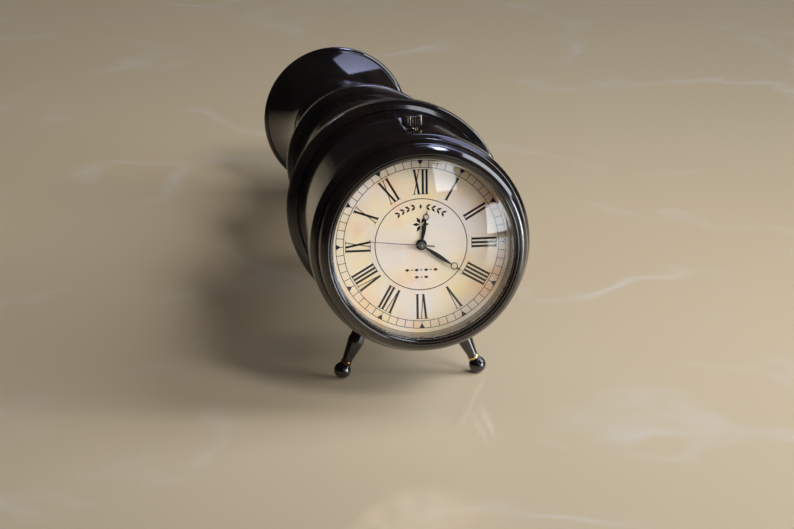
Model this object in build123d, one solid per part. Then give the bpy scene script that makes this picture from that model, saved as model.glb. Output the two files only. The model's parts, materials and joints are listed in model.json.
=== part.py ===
"""A desk clock shaped like a small telescope.

The clock head looks out of a round bezel at the front. A drum behind it carries the head and
stands on two turned legs with ball feet. A knurled union ring joins the drum to a slimmer barrel,
and a thinner draw tube behind the barrel ends in a flared bell, whose rim is the third foot.

Every piece is made about the clock's own axis first: X to the right, Y down and Z to the rear,
with the dial's front face at Z = 0. Then the clock is tipped back onto its feet, and each piece
is written in the standing frame: X to the right, Y to the rear and Z up.
All lengths are in millimetres and all angles in degrees.
"""

from build123d import *
from math import asin, atan2, cos, degrees, pi, radians, sin, sqrt
import os

# Bezel and glass
bezel_overhang = 2.0         # how far the rear band, the widest part, stands out from the drum
front_band_step = 2.0        # how much smaller the front band is than the rear one
groove_depth = 0.9           # groove between the two bands
front_band_width = 4.0       # from the front band's edge in to the window
bezel_front = 9.4            # how far the front lip stands in front of the dial
front_band_length = 7.4
groove_length = 1.2
rear_band_length = 11.4
skirt_length = 2.6           # the part of the bezel that plugs into the drum
bezel_wall = 1.3
glass_lip = 1.2              # depth of the lip that the glass seats behind
glass_rim = 1.5              # thickness of the glass at its edge
glass_dome = 4.6             # how far the dome stands in front of its rim
glass_thickness = 1.6
reflector_width = 1.6        # radial width of the ring between the glass and the dial

# Dial and hands
dial_thickness = 0.5
hour_hand_length = 11.4
minute_hand_length = 16.0
second_hand_length = 16.5
second_tail_length = 4.1
hand_thickness = 0.22
hand_gap = 0.45              # free space between one hand and the next
hour_angle = 10.4            # the time shown is about twenty past twelve
minute_angle = 124.6
second_angle = 276.0
hour_hand_width = 1.25
minute_hand_width = 1.3
second_hand_width = 0.24
hour_ring_radius = 1.0       # the open ring near the tip of each hand
minute_ring_radius = 1.15
hour_ring_place = 8.9        # from the centre of the dial to the ring's centre
minute_ring_place = 12.5
hand_ring_wall = 0.28

# Movement
plate_radius = 14.0
plate_thickness = 1.0
plate_gap = 5.0              # space for the train between the two plates
hour_pipe_radius = 1.35
cannon_radius = 0.9
seconds_arbor_radius = 0.35
wheel_arbor_radius = 0.35
post_radius = 0.45
running_clearance = 0.05     # radial, for an arbor in its hole
end_shake = 0.25             # along the axis, between turning pieces
wheel_thickness = 0.4
pinion_length = 0.9
motion_module = 0.25
cannon_teeth = 12
minute_wheel_teeth = 36
minute_pinion_teeth = 10
hour_wheel_teeth = 40
setting_pinion_teeth = 12
train_module = 0.2
seconds_pinion_teeth = 8
third_wheel_teeth = 60
third_pinion_teeth = 8
centre_wheel_teeth = 64
seconds_wheel_module = 0.19
seconds_wheel_teeth = 60
intermediate_pinion_teeth = 10
rotor_module = 0.13
intermediate_wheel_teeth = 50
rotor_pinion_teeth = 10
minute_wheel_direction = 225.0   # directions are clockwise from three o'clock
third_wheel_direction = 330.0
intermediate_direction = 180.0
rotor_direction = 110.0          # from the intermediate wheel
rotor_radius = 1.4
rotor_length = 2.0
stator_gap = 0.3
stator_wall = 0.9
stator_thickness = 0.8
coil_radius = 1.7
coil_length = 11.0
coil_cheek = 0.35            # how far the bobbin's cheeks stand out from the winding
coil_offset = 8.8            # below the centre
screw_inset = 1.6            # from the plates' edge to the screws
screw_radius = 0.7
screw_head_radius = 1.3
screw_head_height = 0.9
pillar_radius = 1.5
screw_angles = (40, 200, 280)    # where the wheels, the coil and the cell leave room

# Electrics
board_width = 12.0
board_height = 7.0
board_thickness = 0.6
board_gap = 1.4              # behind the rear plate
board_x = -2.5
board_y = 5.5
board_post_radius = 1.0
chip_size = 3.2
chip_height = 1.0
quartz_radius = 1.0
quartz_length = 6.0
cell_radius = 5.8
cell_height = 5.4
cell_x = 7.2
cell_y = -4.0
cell_clearance = 0.15
holder_wall = 0.9
holder_floor = 0.8
cut_length = 40.0            # a cut that runs right through the movement

# Crown and its stem
crown_radius = 3.3
crown_height = 4.0
crown_flutes = 24
flute_depth = 0.4
crown_depth = 19.0           # behind the dial
crown_lift = 1.4             # the crown's base above the drum when pushed in
stem_radius = 0.9
stem_groove_radius = 0.6
stem_tube_radius = 2.0
stem_pinion_radius = 1.3
stem_pinion_length = 1.6
clip_size = 5.0
clip_thickness = 0.8
clip_place = 22.0            # from the clock's axis
contrate_radius = 2.3

# Clock head's case
can_wall = 0.8
can_length = 24.0
lid_thickness = 1.0
fit_clearance = 0.1

# Drum
drum_radius = 33.0
drum_wall = 1.3
drum_back = 61.0             # behind the dial

# Union ring, flange and barrel
union_overhang = 3.6         # how far the ring stands out from the drum
union_length = 5.2
union_edge = 0.7
flange_thickness = 2.4
spigot_length = 7.0
spigot_wall = 1.6
barrel_radius = 25.2
barrel_wall = 1.2
barrel_back = 147.0
end_ring_overhang = 3.2      # how far the ring stands out from the barrel
end_ring_length = 4.2
end_ring_edge = 0.8
end_ring_lip = 5.0

# Draw tube and bell
shoulder_length = 9.0
draw_tube_radius = 17.0
draw_tube_wall = 1.2
draw_tube_length = 44.0      # the part that shows
bead_height = 2.2            # how far the bead stands out from the draw tube
bead_length = 3.6
bell_length = 44.0
bell_radius = 27.6
bell_wall = 1.2
bell_rim_radius = 1.5        # radius of the rolled rim
bell_socket = 6.0            # how far the bell's throat reaches over the draw tube
end_cap_thickness = 1.6
end_cap_inset = 2.6          # from the bell's rim to the cap's outer face

# Legs and ball feet
leg_depth = 31.0             # behind the dial
leg_splay = 25.2             # each leg's angle from straight down
leg_reach = 19.4             # from the drum's surface out to a ball's centre
ball_radius = 2.8
leg_shoulder_radius = 2.5
leg_top_radius = 1.7
leg_foot_radius = 1.5
leg_shoulder = 10.6          # from the ball's centre up to the shoulder
collar_radius = 1.7
collar_height = 1.1
collar_sink = 0.35           # depth of the flat on the ball that the collar sits on
stud_radius = 1.3
nut_across_flats = 5.0
nut_height = 2.2

# Bezel and glass, worked out
bezel_radius = drum_radius + bezel_overhang
front_band_radius = bezel_radius - front_band_step
groove_radius = front_band_radius - groove_depth
window_radius = front_band_radius - front_band_width
drum_bore = drum_radius - drum_wall
skirt_radius = drum_bore - fit_clearance
seat_bore = skirt_radius - bezel_wall
seat_radius = seat_bore - fit_clearance
front_band_back = front_band_length - bezel_front
rear_band_front = front_band_back + groove_length
rear_band_back = rear_band_front + rear_band_length
skirt_back = rear_band_back + skirt_length
glass_front = glass_lip - bezel_front
glass_back = glass_front + glass_rim
reflector_bore = seat_radius - reflector_width

# Movement, worked out along the axis
work_front = dial_thickness + end_shake
minute_wheel_front = work_front + pinion_length
front_plate_front = minute_wheel_front + wheel_thickness + 2 * end_shake
front_plate_back = front_plate_front + plate_thickness
rear_plate_front = front_plate_back + plate_gap
rear_plate_back = rear_plate_front + plate_thickness
centre_wheel_front = front_plate_back + end_shake
third_pinion_front = centre_wheel_front - end_shake / 2
third_wheel_front = third_pinion_front + pinion_length + 2 * end_shake
seconds_pinion_front = third_wheel_front - end_shake
seconds_wheel_front = seconds_pinion_front + pinion_length + end_shake
intermediate_pinion_front = seconds_wheel_front - end_shake / 2
intermediate_wheel_front = intermediate_pinion_front + pinion_length
rotor_pinion_front = intermediate_wheel_front - end_shake / 2
board_front = rear_plate_back + board_gap
board_back = board_front + board_thickness
cell_front = rear_plate_back + holder_floor
can_radius = seat_radius
can_bore = can_radius - can_wall
screw_circle = plate_radius - screw_inset
hour_hand_back = -hand_gap
minute_hand_back = hour_hand_back - hand_thickness - hand_gap
second_hand_back = minute_hand_back - hand_thickness - hand_gap

# Movement, worked out across the axis
motion_distance = motion_module * (cannon_teeth + minute_wheel_teeth) / 2
hour_module = 2 * motion_distance / (minute_pinion_teeth + hour_wheel_teeth)
train_distance = train_module * (seconds_pinion_teeth + third_wheel_teeth) / 2
centre_module = 2 * train_distance / (third_pinion_teeth + centre_wheel_teeth)
intermediate_distance = seconds_wheel_module * (seconds_wheel_teeth + intermediate_pinion_teeth) / 2
rotor_distance = rotor_module * (intermediate_wheel_teeth + rotor_pinion_teeth) / 2
setting_distance = motion_module * (minute_wheel_teeth + setting_pinion_teeth) / 2

# Outside of the clock, worked out
union_radius = drum_radius + union_overhang
end_ring_radius = barrel_radius + end_ring_overhang
bead_radius = draw_tube_radius + bead_height
foot_reach = drum_radius + leg_reach
union_back = drum_back + union_length
end_ring_back = barrel_back + end_ring_length
shoulder_back = end_ring_back + shoulder_length
bell_front = shoulder_back + draw_tube_length
bell_back = bell_front + bell_length
flare_radius = bell_radius - bell_rim_radius
rim_depth = bell_back - bell_rim_radius
crown_base = drum_radius + crown_lift
tube_top = crown_base - end_shake
ball_top = foot_reach - ball_radius + collar_sink
stud_inner = drum_bore - nut_height - 1.0


def around(radius, direction):
    """X and Y at a distance and a direction from the clock's axis."""
    return (radius * cos(radians(direction)), radius * sin(radians(direction)))


minute_wheel_x, minute_wheel_y = around(motion_distance, minute_wheel_direction)
third_wheel_x, third_wheel_y = around(train_distance, third_wheel_direction)
intermediate_x, intermediate_y = around(intermediate_distance, intermediate_direction)
rotor_x = intermediate_x + around(rotor_distance, rotor_direction)[0]
rotor_y = intermediate_y + around(rotor_distance, rotor_direction)[1]
setting_y = minute_wheel_y - sqrt(setting_distance**2 - minute_wheel_x**2)
setting_direction = degrees(atan2(setting_y - minute_wheel_y, -minute_wheel_x))
stem_inner = -setting_y - stem_pinion_length / 2


def at(point):
    """A profile point, radius and depth, as a point of the XZ plane."""
    return (point[0], 0, point[1])


def turned(start, *steps):
    """A solid of revolution about the Z axis. Each step is the next (radius, depth) of the
    profile, or a pair of points, a middle and an end, for an arc."""
    edges = []
    here = start
    for step in list(steps) + [start]:
        if isinstance(step[0], tuple):
            middle, end = step
            edges.append(ThreePointArc(at(here), at(middle), at(end)))
        else:
            end = step
            edges.append(Line(at(here), at(end)))
        here = end
    return revolve(make_face(Wire(edges)), Axis.Z)


def rod(radius, front, back, x=0.0, y=0.0):
    """A round bar along the axis, from one depth to another."""
    bar = Cylinder(radius, back - front, align=(Align.CENTER, Align.CENTER, Align.MIN))
    return Pos(x, y, front) * bar


def tube(outer, inner, front, back, x=0.0, y=0.0):
    """A plain ring or tube along the axis."""
    return rod(outer, front, back, x, y) - rod(inner, front - 1, back + 1, x, y)


def drill(radius, x=0.0, y=0.0):
    """A cut along the axis that runs right through the movement."""
    return rod(radius, -cut_length, cut_length, x, y)


def upright(radius, start, end):
    """A round bar that points straight up out of the clock, at the crown's depth."""
    bar = Cylinder(radius, end - start, align=(Align.CENTER, Align.CENTER, Align.MIN))
    return Pos(0, -start, crown_depth) * Rot(X=90) * bar


def slab(width, height, thickness, x, y, front):
    """A flat block square to the axis, centred on x and y."""
    return Pos(x, y, front) * Box(
        width, height, thickness, align=(Align.CENTER, Align.CENTER, Align.MIN)
    )


def gear(teeth, module, front, thickness, phase, x=0.0, y=0.0):
    """A spur wheel with slim straight-sided teeth, one of them centred on the phase angle."""
    pitch = teeth * module / 2
    root, tip = pitch - 1.15 * module, pitch + 0.8 * module
    root_half, tip_half = 0.60 * module / root, 0.24 * module / tip
    points = []
    for tooth in range(teeth):
        middle = radians(phase) + 2 * pi * tooth / teeth
        for radius, turn in (
            (root, -root_half),
            (tip, -tip_half),
            (tip, tip_half),
            (root, root_half),
        ):
            points.append((radius * cos(middle + turn), radius * sin(middle + turn)))
    return Pos(x, y, front) * extrude(make_face(Polyline(*points, close=True)), thickness)


# Bezel and glass


def make_bezel():
    """A front band, a groove and a wider rear band, with a skirt that plugs into the drum."""
    lip = -bezel_front
    front_middle = lip + front_band_length * 0.55
    rear_middle = (rear_band_front + rear_band_back) / 2
    return turned(
        (window_radius, lip + 0.7),
        ((window_radius + 0.25, lip + 0.2), (window_radius + 0.8, lip)),
        ((front_band_radius - 0.9, lip + 1.7), (front_band_radius, front_middle)),
        ((front_band_radius - 0.25, front_band_back - 1.0), (groove_radius, front_band_back)),
        (groove_radius, rear_band_front),
        ((bezel_radius - 0.7, rear_band_front + 1.1), (bezel_radius, rear_middle - 1.5)),
        (bezel_radius, rear_middle + 1.5),
        ((bezel_radius - 0.4, rear_band_back - 1.0), (bezel_radius - 1.3, rear_band_back)),
        (skirt_radius, rear_band_back),
        (skirt_radius, skirt_back),
        (seat_bore, skirt_back),
        (seat_bore, glass_front),
        (window_radius, glass_front),
    )


def make_glass():
    """The domed crystal: an even dome that rises from a flat rim through the window."""
    foot = window_radius - fit_clearance
    top = glass_front - glass_dome
    inside_top = top + glass_thickness
    return turned(
        (0, top),
        (on_dome(foot / 2, foot, glass_front, top), (foot, glass_front)),
        (seat_radius, glass_front),
        (seat_radius, glass_back),
        (reflector_bore, glass_back),
        (on_dome(reflector_bore / 2, reflector_bore, glass_back, inside_top), (0, inside_top)),
    )


def on_dome(radius, edge_radius, edge_depth, top_depth):
    """A point on the sphere that runs from a round edge to a top on the axis."""
    rise = edge_depth - top_depth
    sphere = (edge_radius**2 + rise**2) / (2 * rise)
    return (radius, top_depth + sphere - sqrt(sphere**2 - radius**2))


def make_reflector():
    """The ring that holds the glass off the dial."""
    return turned(
        (reflector_bore, glass_back),
        (seat_radius, glass_back),
        (seat_radius, 0.0),
        (reflector_bore - 0.3, 0.0),
    )


def make_dial():
    return tube(seat_radius, hour_pipe_radius + 0.25, 0.0, dial_thickness)


# Hands


def hand(length, width, ring_radius, ring_place, hub_radius, bore, back, angle):
    """A flat hand that swells from its hub, with an open ring before its pointed tip."""
    waist = ring_radius * 0.15
    blade = Polyline(
        (-waist, 0),
        (-width / 2, ring_place * 0.55),
        (-waist, ring_place - ring_radius / 2),
        (waist, ring_place - ring_radius / 2),
        (width / 2, ring_place * 0.55),
        (waist, 0),
        close=True,
    )
    tip = Polyline(
        (-waist, ring_place + ring_radius / 2),
        (-width / 4, (ring_place + ring_radius + length) / 2),
        (0, length),
        (width / 4, (ring_place + ring_radius + length) / 2),
        (waist, ring_place + ring_radius / 2),
        close=True,
    )
    flat = make_face(blade) + make_face(tip) + Circle(hub_radius)
    flat += Pos(0, ring_place) * Circle(ring_radius)
    flat -= Pos(0, ring_place) * Circle(ring_radius - hand_ring_wall)
    flat -= Circle(bore)
    return pointed(flat, back, angle)


def pointed(flat, back, angle):
    """Gives a flat outline along +Y its thickness and turns it to its place on the dial."""
    solid = extrude(flat, hand_thickness)
    return Pos(0, 0, back - hand_thickness) * Rot(Z=180 + angle) * solid


def make_hour_hand():
    return hand(
        hour_hand_length,
        hour_hand_width,
        hour_ring_radius,
        hour_ring_place,
        hour_pipe_radius + 0.5,
        hour_pipe_radius,
        hour_hand_back,
        hour_angle,
    )


def make_minute_hand():
    return hand(
        minute_hand_length,
        minute_hand_width,
        minute_ring_radius,
        minute_ring_place,
        cannon_radius + 0.6,
        cannon_radius,
        minute_hand_back,
        minute_angle,
    )


def make_second_hand():
    """A plain needle with a short, thicker tail."""
    reach = second_hand_length + second_tail_length
    flat = Pos(0, second_hand_length - reach / 2) * Rectangle(second_hand_width, reach)
    flat += Pos(0, -second_tail_length / 2) * Rectangle(2 * second_hand_width, second_tail_length)
    flat += Circle(seconds_arbor_radius + 0.65)
    flat -= Circle(seconds_arbor_radius)
    return pointed(flat, second_hand_back, second_angle)


# Motion work, which turns the hour hand and sets the hands


def make_hour_wheel():
    """The hour wheel and its pipe, which goes out through the dial to the hour hand."""
    wheel = gear(
        hour_wheel_teeth, hour_module, work_front, wheel_thickness, minute_wheel_direction
    )
    wheel += rod(hour_pipe_radius, hour_hand_back - hand_thickness, work_front + wheel_thickness)
    return wheel - drill(cannon_radius + running_clearance)


def make_minute_wheel():
    """The idler of the motion work: a wheel and its pinion in one."""
    place = (minute_wheel_x, minute_wheel_y)
    facing = minute_wheel_direction + 180
    piece = gear(
        minute_pinion_teeth,
        hour_module,
        work_front,
        pinion_length,
        facing + 180 / minute_pinion_teeth,
        *place,
    )
    piece += gear(
        minute_wheel_teeth,
        motion_module,
        minute_wheel_front,
        wheel_thickness,
        facing + 180 / minute_wheel_teeth,
        *place,
    )
    return piece - drill(post_radius + running_clearance, *place)


def make_cannon_pinion():
    """The cannon pinion: its long pipe carries the minute hand and turns in the centre wheel."""
    pinion_front = work_front + wheel_thickness + end_shake
    pinion_back = minute_wheel_front + wheel_thickness
    piece = gear(
        cannon_teeth,
        motion_module,
        pinion_front,
        pinion_back - pinion_front,
        minute_wheel_direction,
    )
    piece += rod(
        cannon_radius,
        minute_hand_back - hand_thickness,
        centre_wheel_front + wheel_thickness + end_shake,
    )
    return piece - drill(seconds_arbor_radius + running_clearance)


def make_setting_arbor():
    """The setting arbor: its pinion drives the minute wheel, and the contrate wheel at its
    rear end takes the stem's pinion when the crown is pulled out."""
    contrate_back = crown_depth - stem_pinion_radius - end_shake
    arbor = rod(wheel_arbor_radius, minute_wheel_front, contrate_back, 0, setting_y)
    pinion_phase = setting_direction + 180 + setting_phase_turn()
    pinion = gear(
        setting_pinion_teeth,
        motion_module,
        minute_wheel_front,
        wheel_thickness,
        pinion_phase,
        0,
        setting_y,
    )
    disc = rod(contrate_radius, contrate_back - 1.6, contrate_back - 0.8, 0, setting_y)
    crown_teeth = rod(contrate_radius, contrate_back - 0.8, contrate_back, 0, setting_y)
    crown_teeth -= drill(contrate_radius - 0.8, 0, setting_y)
    for turn in range(0, 180, 30):
        gap = Pos(0, setting_y, contrate_back) * Rot(Z=turn) * Box(cut_length, 0.5, 1.6)
        crown_teeth -= gap
    return arbor + pinion + disc + crown_teeth


def setting_phase_turn():
    """How far the setting pinion is turned so that its teeth meet the minute wheel's gaps."""
    wheel_pitch = 360 / minute_wheel_teeth
    wheel_phase = minute_wheel_direction + 180 + wheel_pitch / 2
    offset = (setting_direction - wheel_phase) % wheel_pitch
    return (offset / wheel_pitch + 0.5) * 360 / setting_pinion_teeth


# Going train, from the rotor to the centre wheel


def make_centre_wheel():
    """The centre wheel. It grips the cannon pinion's pipe by friction, so the hands can be set."""
    wheel = gear(
        centre_wheel_teeth,
        centre_module,
        centre_wheel_front,
        wheel_thickness,
        third_wheel_direction,
    )
    return wheel - drill(cannon_radius + running_clearance)


def make_third_wheel():
    place = (third_wheel_x, third_wheel_y)
    facing = third_wheel_direction + 180
    piece = gear(
        third_pinion_teeth,
        centre_module,
        third_pinion_front,
        pinion_length,
        facing + 180 / third_pinion_teeth,
        *place,
    )
    piece += gear(
        third_wheel_teeth,
        train_module,
        third_wheel_front,
        wheel_thickness,
        facing + 180 / third_wheel_teeth,
        *place,
    )
    return piece + rod(wheel_arbor_radius, front_plate_front, rear_plate_back, *place)


def make_seconds_wheel():
    """The seconds arbor runs through the cannon pinion and carries the second hand."""
    piece = gear(
        seconds_pinion_teeth,
        train_module,
        seconds_pinion_front,
        pinion_length,
        third_wheel_direction,
    )
    piece += gear(
        seconds_wheel_teeth,
        seconds_wheel_module,
        seconds_wheel_front,
        wheel_thickness,
        intermediate_direction,
    )
    front = second_hand_back - hand_thickness - 0.3
    return piece + rod(seconds_arbor_radius, front, rear_plate_back)


def make_intermediate_wheel():
    place = (intermediate_x, intermediate_y)
    facing = intermediate_direction + 180
    piece = gear(
        intermediate_pinion_teeth,
        seconds_wheel_module,
        intermediate_pinion_front,
        pinion_length,
        facing + 180 / intermediate_pinion_teeth,
        *place,
    )
    piece += gear(
        intermediate_wheel_teeth,
        rotor_module,
        intermediate_wheel_front,
        wheel_thickness,
        rotor_direction,
        *place,
    )
    return piece + rod(wheel_arbor_radius, front_plate_front, rear_plate_back, *place)


def make_rotor():
    """The motor's magnet on its arbor, with the first pinion of the train."""
    place = (rotor_x, rotor_y)
    magnet_back = rotor_pinion_front - end_shake
    piece = gear(
        rotor_pinion_teeth,
        rotor_module,
        rotor_pinion_front,
        pinion_length,
        rotor_direction + 180 + 180 / rotor_pinion_teeth,
        *place,
    )
    piece += rod(rotor_radius, magnet_back - rotor_length, magnet_back, *place)
    return piece + rod(wheel_arbor_radius * 0.8, front_plate_front, rear_plate_back, *place)


# Plates and motor


def pivot_holes(plate):
    """Bores a plate for the arbors that turn in it and for the three screws."""
    for x, y, radius in (
        (third_wheel_x, third_wheel_y, wheel_arbor_radius),
        (intermediate_x, intermediate_y, wheel_arbor_radius),
        (rotor_x, rotor_y, wheel_arbor_radius * 0.8),
        (0, setting_y, wheel_arbor_radius),
    ):
        plate -= drill(radius + running_clearance, x, y)
    for angle in screw_angles:
        plate -= drill(screw_radius, *around(screw_circle, angle))
    return plate


def make_front_plate():
    """The main plate, with the post that the minute wheel turns on."""
    plate = pivot_holes(rod(plate_radius, front_plate_front, front_plate_back))
    plate -= drill(cannon_radius + running_clearance)
    return plate + rod(post_radius, work_front, front_plate_front, minute_wheel_x, minute_wheel_y)


def make_rear_plate():
    plate = pivot_holes(rod(plate_radius, rear_plate_front, rear_plate_back))
    return plate - drill(seconds_arbor_radius + running_clearance)


def make_plate_pillars():
    """The distance pieces between the plates."""
    pillars = []
    for angle in screw_angles:
        place = around(screw_circle, angle)
        pillars.append(tube(pillar_radius, screw_radius, front_plate_back, rear_plate_front, *place))
    return Compound(children=pillars)


def make_plate_screws():
    """Three slotted screws that hold the plates together from behind."""
    screws = []
    for angle in screw_angles:
        x, y = around(screw_circle, angle)
        head_back = rear_plate_back + screw_head_height
        screw = rod(screw_radius, front_plate_front, rear_plate_back, x, y)
        screw += rod(screw_head_radius, rear_plate_back, head_back, x, y)
        screws.append(screw - slab(3 * screw_head_radius, 0.35, 0.9, x, y, head_back - 0.4))
    return Compound(children=screws)


motor_depth = (front_plate_back + rear_plate_front) / 2
yoke_height = 1.0


def make_coil():
    """The motor's winding on a bobbin with two cheeks, lying across the movement."""
    winding = Cylinder(coil_radius, coil_length)
    cheek = Cylinder(coil_radius + coil_cheek, 0.6)
    bobbin = winding + Pos(0, 0, coil_length / 2) * cheek + Pos(0, 0, -coil_length / 2) * cheek
    bobbin = Rot(Y=90) * bobbin
    bobbin -= Box(2 * coil_length, yoke_height + 0.02, stator_thickness + 0.02)
    return Pos(0, coil_offset, motor_depth) * bobbin


def make_stator():
    """The iron yoke: a bar through the coil, and a ring round the rotor."""
    front = motor_depth - stator_thickness / 2
    ring_bore = rotor_radius + stator_gap
    ring_radius = ring_bore + stator_wall
    bar_left = rotor_x - stator_wall / 2
    bar_right = coil_length / 2 + 1.2
    bar = slab(
        bar_right - bar_left,
        yoke_height,
        stator_thickness,
        (bar_left + bar_right) / 2,
        coil_offset,
        front,
    )
    arm_top = rotor_y + ring_bore + stator_wall / 2
    arm_end = coil_offset + yoke_height / 2
    arm = slab(
        stator_wall,
        arm_end - arm_top,
        stator_thickness,
        rotor_x,
        (arm_top + arm_end) / 2,
        front,
    )
    ring = tube(ring_radius, ring_bore, front, front + stator_thickness, rotor_x, rotor_y)
    return bar + arm + ring


# Electrics


def make_circuit_board():
    return slab(board_width, board_height, board_thickness, board_x, board_y, board_front)


def make_board_posts():
    """Two posts that carry the board off the rear plate."""
    spread = board_width / 3
    posts = []
    for x in (board_x - spread, board_x + spread):
        posts.append(rod(board_post_radius, rear_plate_back, board_front, x, board_y))
    return Compound(children=posts)


def make_quartz():
    """The quartz crystal in its little can, lying on the board."""
    can = Rot(Y=90) * Cylinder(quartz_radius, quartz_length)
    y = board_y + board_height / 2 - quartz_radius - 0.4
    return Pos(board_x, y, board_back + quartz_radius) * can


def make_chip():
    y = board_y - board_height / 2 + chip_size / 2 + 0.3
    return slab(chip_size, chip_size, chip_height, board_x + board_width / 4, y, board_back)


def make_cell_holder():
    """The cup behind the rear plate that takes the button cell, open to the rear."""
    bore = cell_radius + cell_clearance
    back = cell_front + cell_height * 0.7
    cup = rod(bore + holder_wall, rear_plate_back, back, cell_x, cell_y)
    cup -= rod(bore, cell_front, back + 9, cell_x, cell_y)
    for angle in screw_angles:
        cup -= drill(screw_head_radius + 0.3, *around(screw_circle, angle))
    return cup


def make_cell():
    """The button cell, with its narrower cap forward."""
    cap_length = cell_height * 0.2
    cell = rod(cell_radius, cell_front + cap_length, cell_front + cell_height, cell_x, cell_y)
    return cell + rod(cell_radius * 0.8, cell_front, cell_front + cap_length, cell_x, cell_y)


# Clock head's case


def make_movement_ring():
    """The moulded ring that holds the movement in the case and backs the dial."""
    bore = plate_radius + fit_clearance
    rim = can_bore - fit_clearance
    flange_back = dial_thickness + 2.0
    return turned(
        (bore, dial_thickness),
        (rim, dial_thickness),
        (rim, flange_back),
        (bore + 3.0, flange_back),
        (bore + 3.0, rear_plate_back),
        (bore, rear_plate_back),
    )


def make_case():
    """The thin tube round the clock head, with a hole for the stem tube."""
    case = tube(can_radius, can_bore, dial_thickness, can_length)
    return case - upright(stem_tube_radius, can_bore - 2, can_radius + 2)


def make_lid():
    """The lid that closes the head from behind, with a rim that plugs into the case."""
    plug = can_bore - fit_clearance
    return turned(
        (0, can_length),
        (plug - 1.2, can_length),
        (plug - 1.2, can_length - 2.0),
        (plug, can_length - 2.0),
        (plug, can_length),
        (can_radius, can_length),
        (can_radius, can_length + lid_thickness),
        (0, can_length + lid_thickness),
    )


# Crown and stem


def make_stem():
    """The setting stem, with its pinion at the inner end and a groove for the clip."""
    top = crown_base + crown_height - 1.0
    stem = upright(stem_radius, stem_inner, top)
    groove = upright(stem_radius + 1, clip_place, clip_place + clip_thickness + 0.1)
    stem -= groove - upright(stem_groove_radius, 0, top)
    return stem + upright(stem_pinion_radius, stem_inner, stem_inner + stem_pinion_length)


def make_clip():
    """The spring clip in the stem's groove. It slides with the stem and clicks at each end."""
    plate = Pos(0, -clip_place - (clip_thickness + 0.1) / 2, crown_depth) * Box(
        clip_size, clip_thickness, clip_size
    )
    return plate - upright(stem_groove_radius + running_clearance, 0, crown_base)


def make_stem_tube():
    """The guide tube of the stem. It is screwed into the case from outside, through the drum."""
    sleeve = upright(stem_tube_radius, can_bore - 2.0, tube_top)
    return sleeve - upright(stem_radius + running_clearance, 0, crown_base)


def make_crown():
    """The fluted setting knob, pushed in."""
    points = []
    for flute in range(crown_flutes):
        for share, depth in ((0.0, 0.0), (0.34, 0.0), (0.5, flute_depth), (0.84, flute_depth)):
            turn = 2 * pi * (flute + share) / crown_flutes
            radius = crown_radius - depth
            points.append((radius * cos(turn), radius * sin(turn)))
    knob = extrude(make_face(Polyline(*points, close=True)), crown_height)
    knob &= turned(
        (0, 0),
        (crown_radius - 0.5, 0),
        (crown_radius, 0.4),
        (crown_radius, crown_height - 0.7),
        (crown_radius - 0.8, crown_height),
        (0, crown_height),
    )
    knob = Pos(0, -crown_base, crown_depth) * Rot(X=90) * knob
    return knob - upright(stem_radius, 0, crown_base + crown_height - 1.0)


# Drum, union ring and barrel


def make_drum():
    """The front drum, with holes for the stem tube and for the two legs' studs."""
    drum = tube(drum_radius, drum_bore, rear_band_back, drum_back)
    drum -= upright(stem_tube_radius + fit_clearance, drum_bore - 4, drum_radius + 4)
    for side in (-1, 1):
        drum -= leg_place(side) * rod(stud_radius, drum_bore - 4, drum_radius + 4)
    return drum


def make_flange():
    """The turned flange that closes the drum and takes the front end of the barrel."""
    back = drum_back + flange_thickness
    return turned(
        (barrel_radius - barrel_wall, drum_back),
        (drum_radius, drum_back),
        (drum_radius, back),
        (barrel_radius, back),
        (barrel_radius, drum_back + 1.0),
        (barrel_radius - barrel_wall, drum_back + 1.0),
    )


def make_spigot():
    """The short sleeve inside the drum that the flange is fixed to."""
    outer = drum_bore - fit_clearance
    return tube(outer, outer - spigot_wall, drum_back - spigot_length, drum_back)


def make_union_ring():
    """The knurled ring that draws the two halves of the clock together."""
    flange_back = drum_back + flange_thickness
    bore = drum_radius + fit_clearance
    rear_bore = barrel_radius + 1.0
    return turned(
        (bore, drum_back),
        (union_radius - 2 * union_edge, drum_back),
        (union_radius, drum_back + union_edge),
        (union_radius, union_back - union_edge),
        (union_radius - union_edge, union_back),
        (rear_bore, union_back),
        (rear_bore, flange_back),
        (bore, flange_back),
    )


def make_barrel():
    return tube(barrel_radius, barrel_radius - barrel_wall, drum_back + 1.0, barrel_back)


def make_end_ring():
    """The ring at the rear end of the barrel, with a lip that seats inside it."""
    lip_radius = barrel_radius - barrel_wall - fit_clearance
    lip_bore = lip_radius - 1.8
    return turned(
        (lip_bore, barrel_back - end_ring_lip),
        (lip_radius, barrel_back - end_ring_lip),
        (lip_radius, barrel_back),
        (end_ring_radius - end_ring_edge, barrel_back),
        (end_ring_radius, barrel_back + end_ring_edge),
        (end_ring_radius, end_ring_back - end_ring_edge),
        (end_ring_radius - end_ring_edge, end_ring_back),
        (lip_bore, end_ring_back),
    )


# Draw tube and bell


def make_shoulder():
    """The turned shoulder that steps from the barrel down to the draw tube."""
    foot = barrel_radius - 0.6
    return turned(
        (draw_tube_radius, end_ring_back),
        (foot, end_ring_back),
        (foot, end_ring_back + 1.6),
        (
            (foot - 2.6, end_ring_back + shoulder_length * 0.62),
            (draw_tube_radius + 1.4, shoulder_back),
        ),
        (draw_tube_radius, shoulder_back),
    )


def make_bead():
    """A turned ring on the draw tube, behind the shoulder."""
    edge = draw_tube_radius + 0.5
    back = shoulder_back + bead_length
    return turned(
        (draw_tube_radius, shoulder_back),
        (edge, shoulder_back),
        ((bead_radius, (shoulder_back + back) / 2), (edge, back)),
        (draw_tube_radius, back),
    )


def make_draw_tube():
    inside = end_ring_back - 2.0
    bore = draw_tube_radius - draw_tube_wall
    return tube(draw_tube_radius, bore, inside, bell_front + bell_socket)


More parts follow.
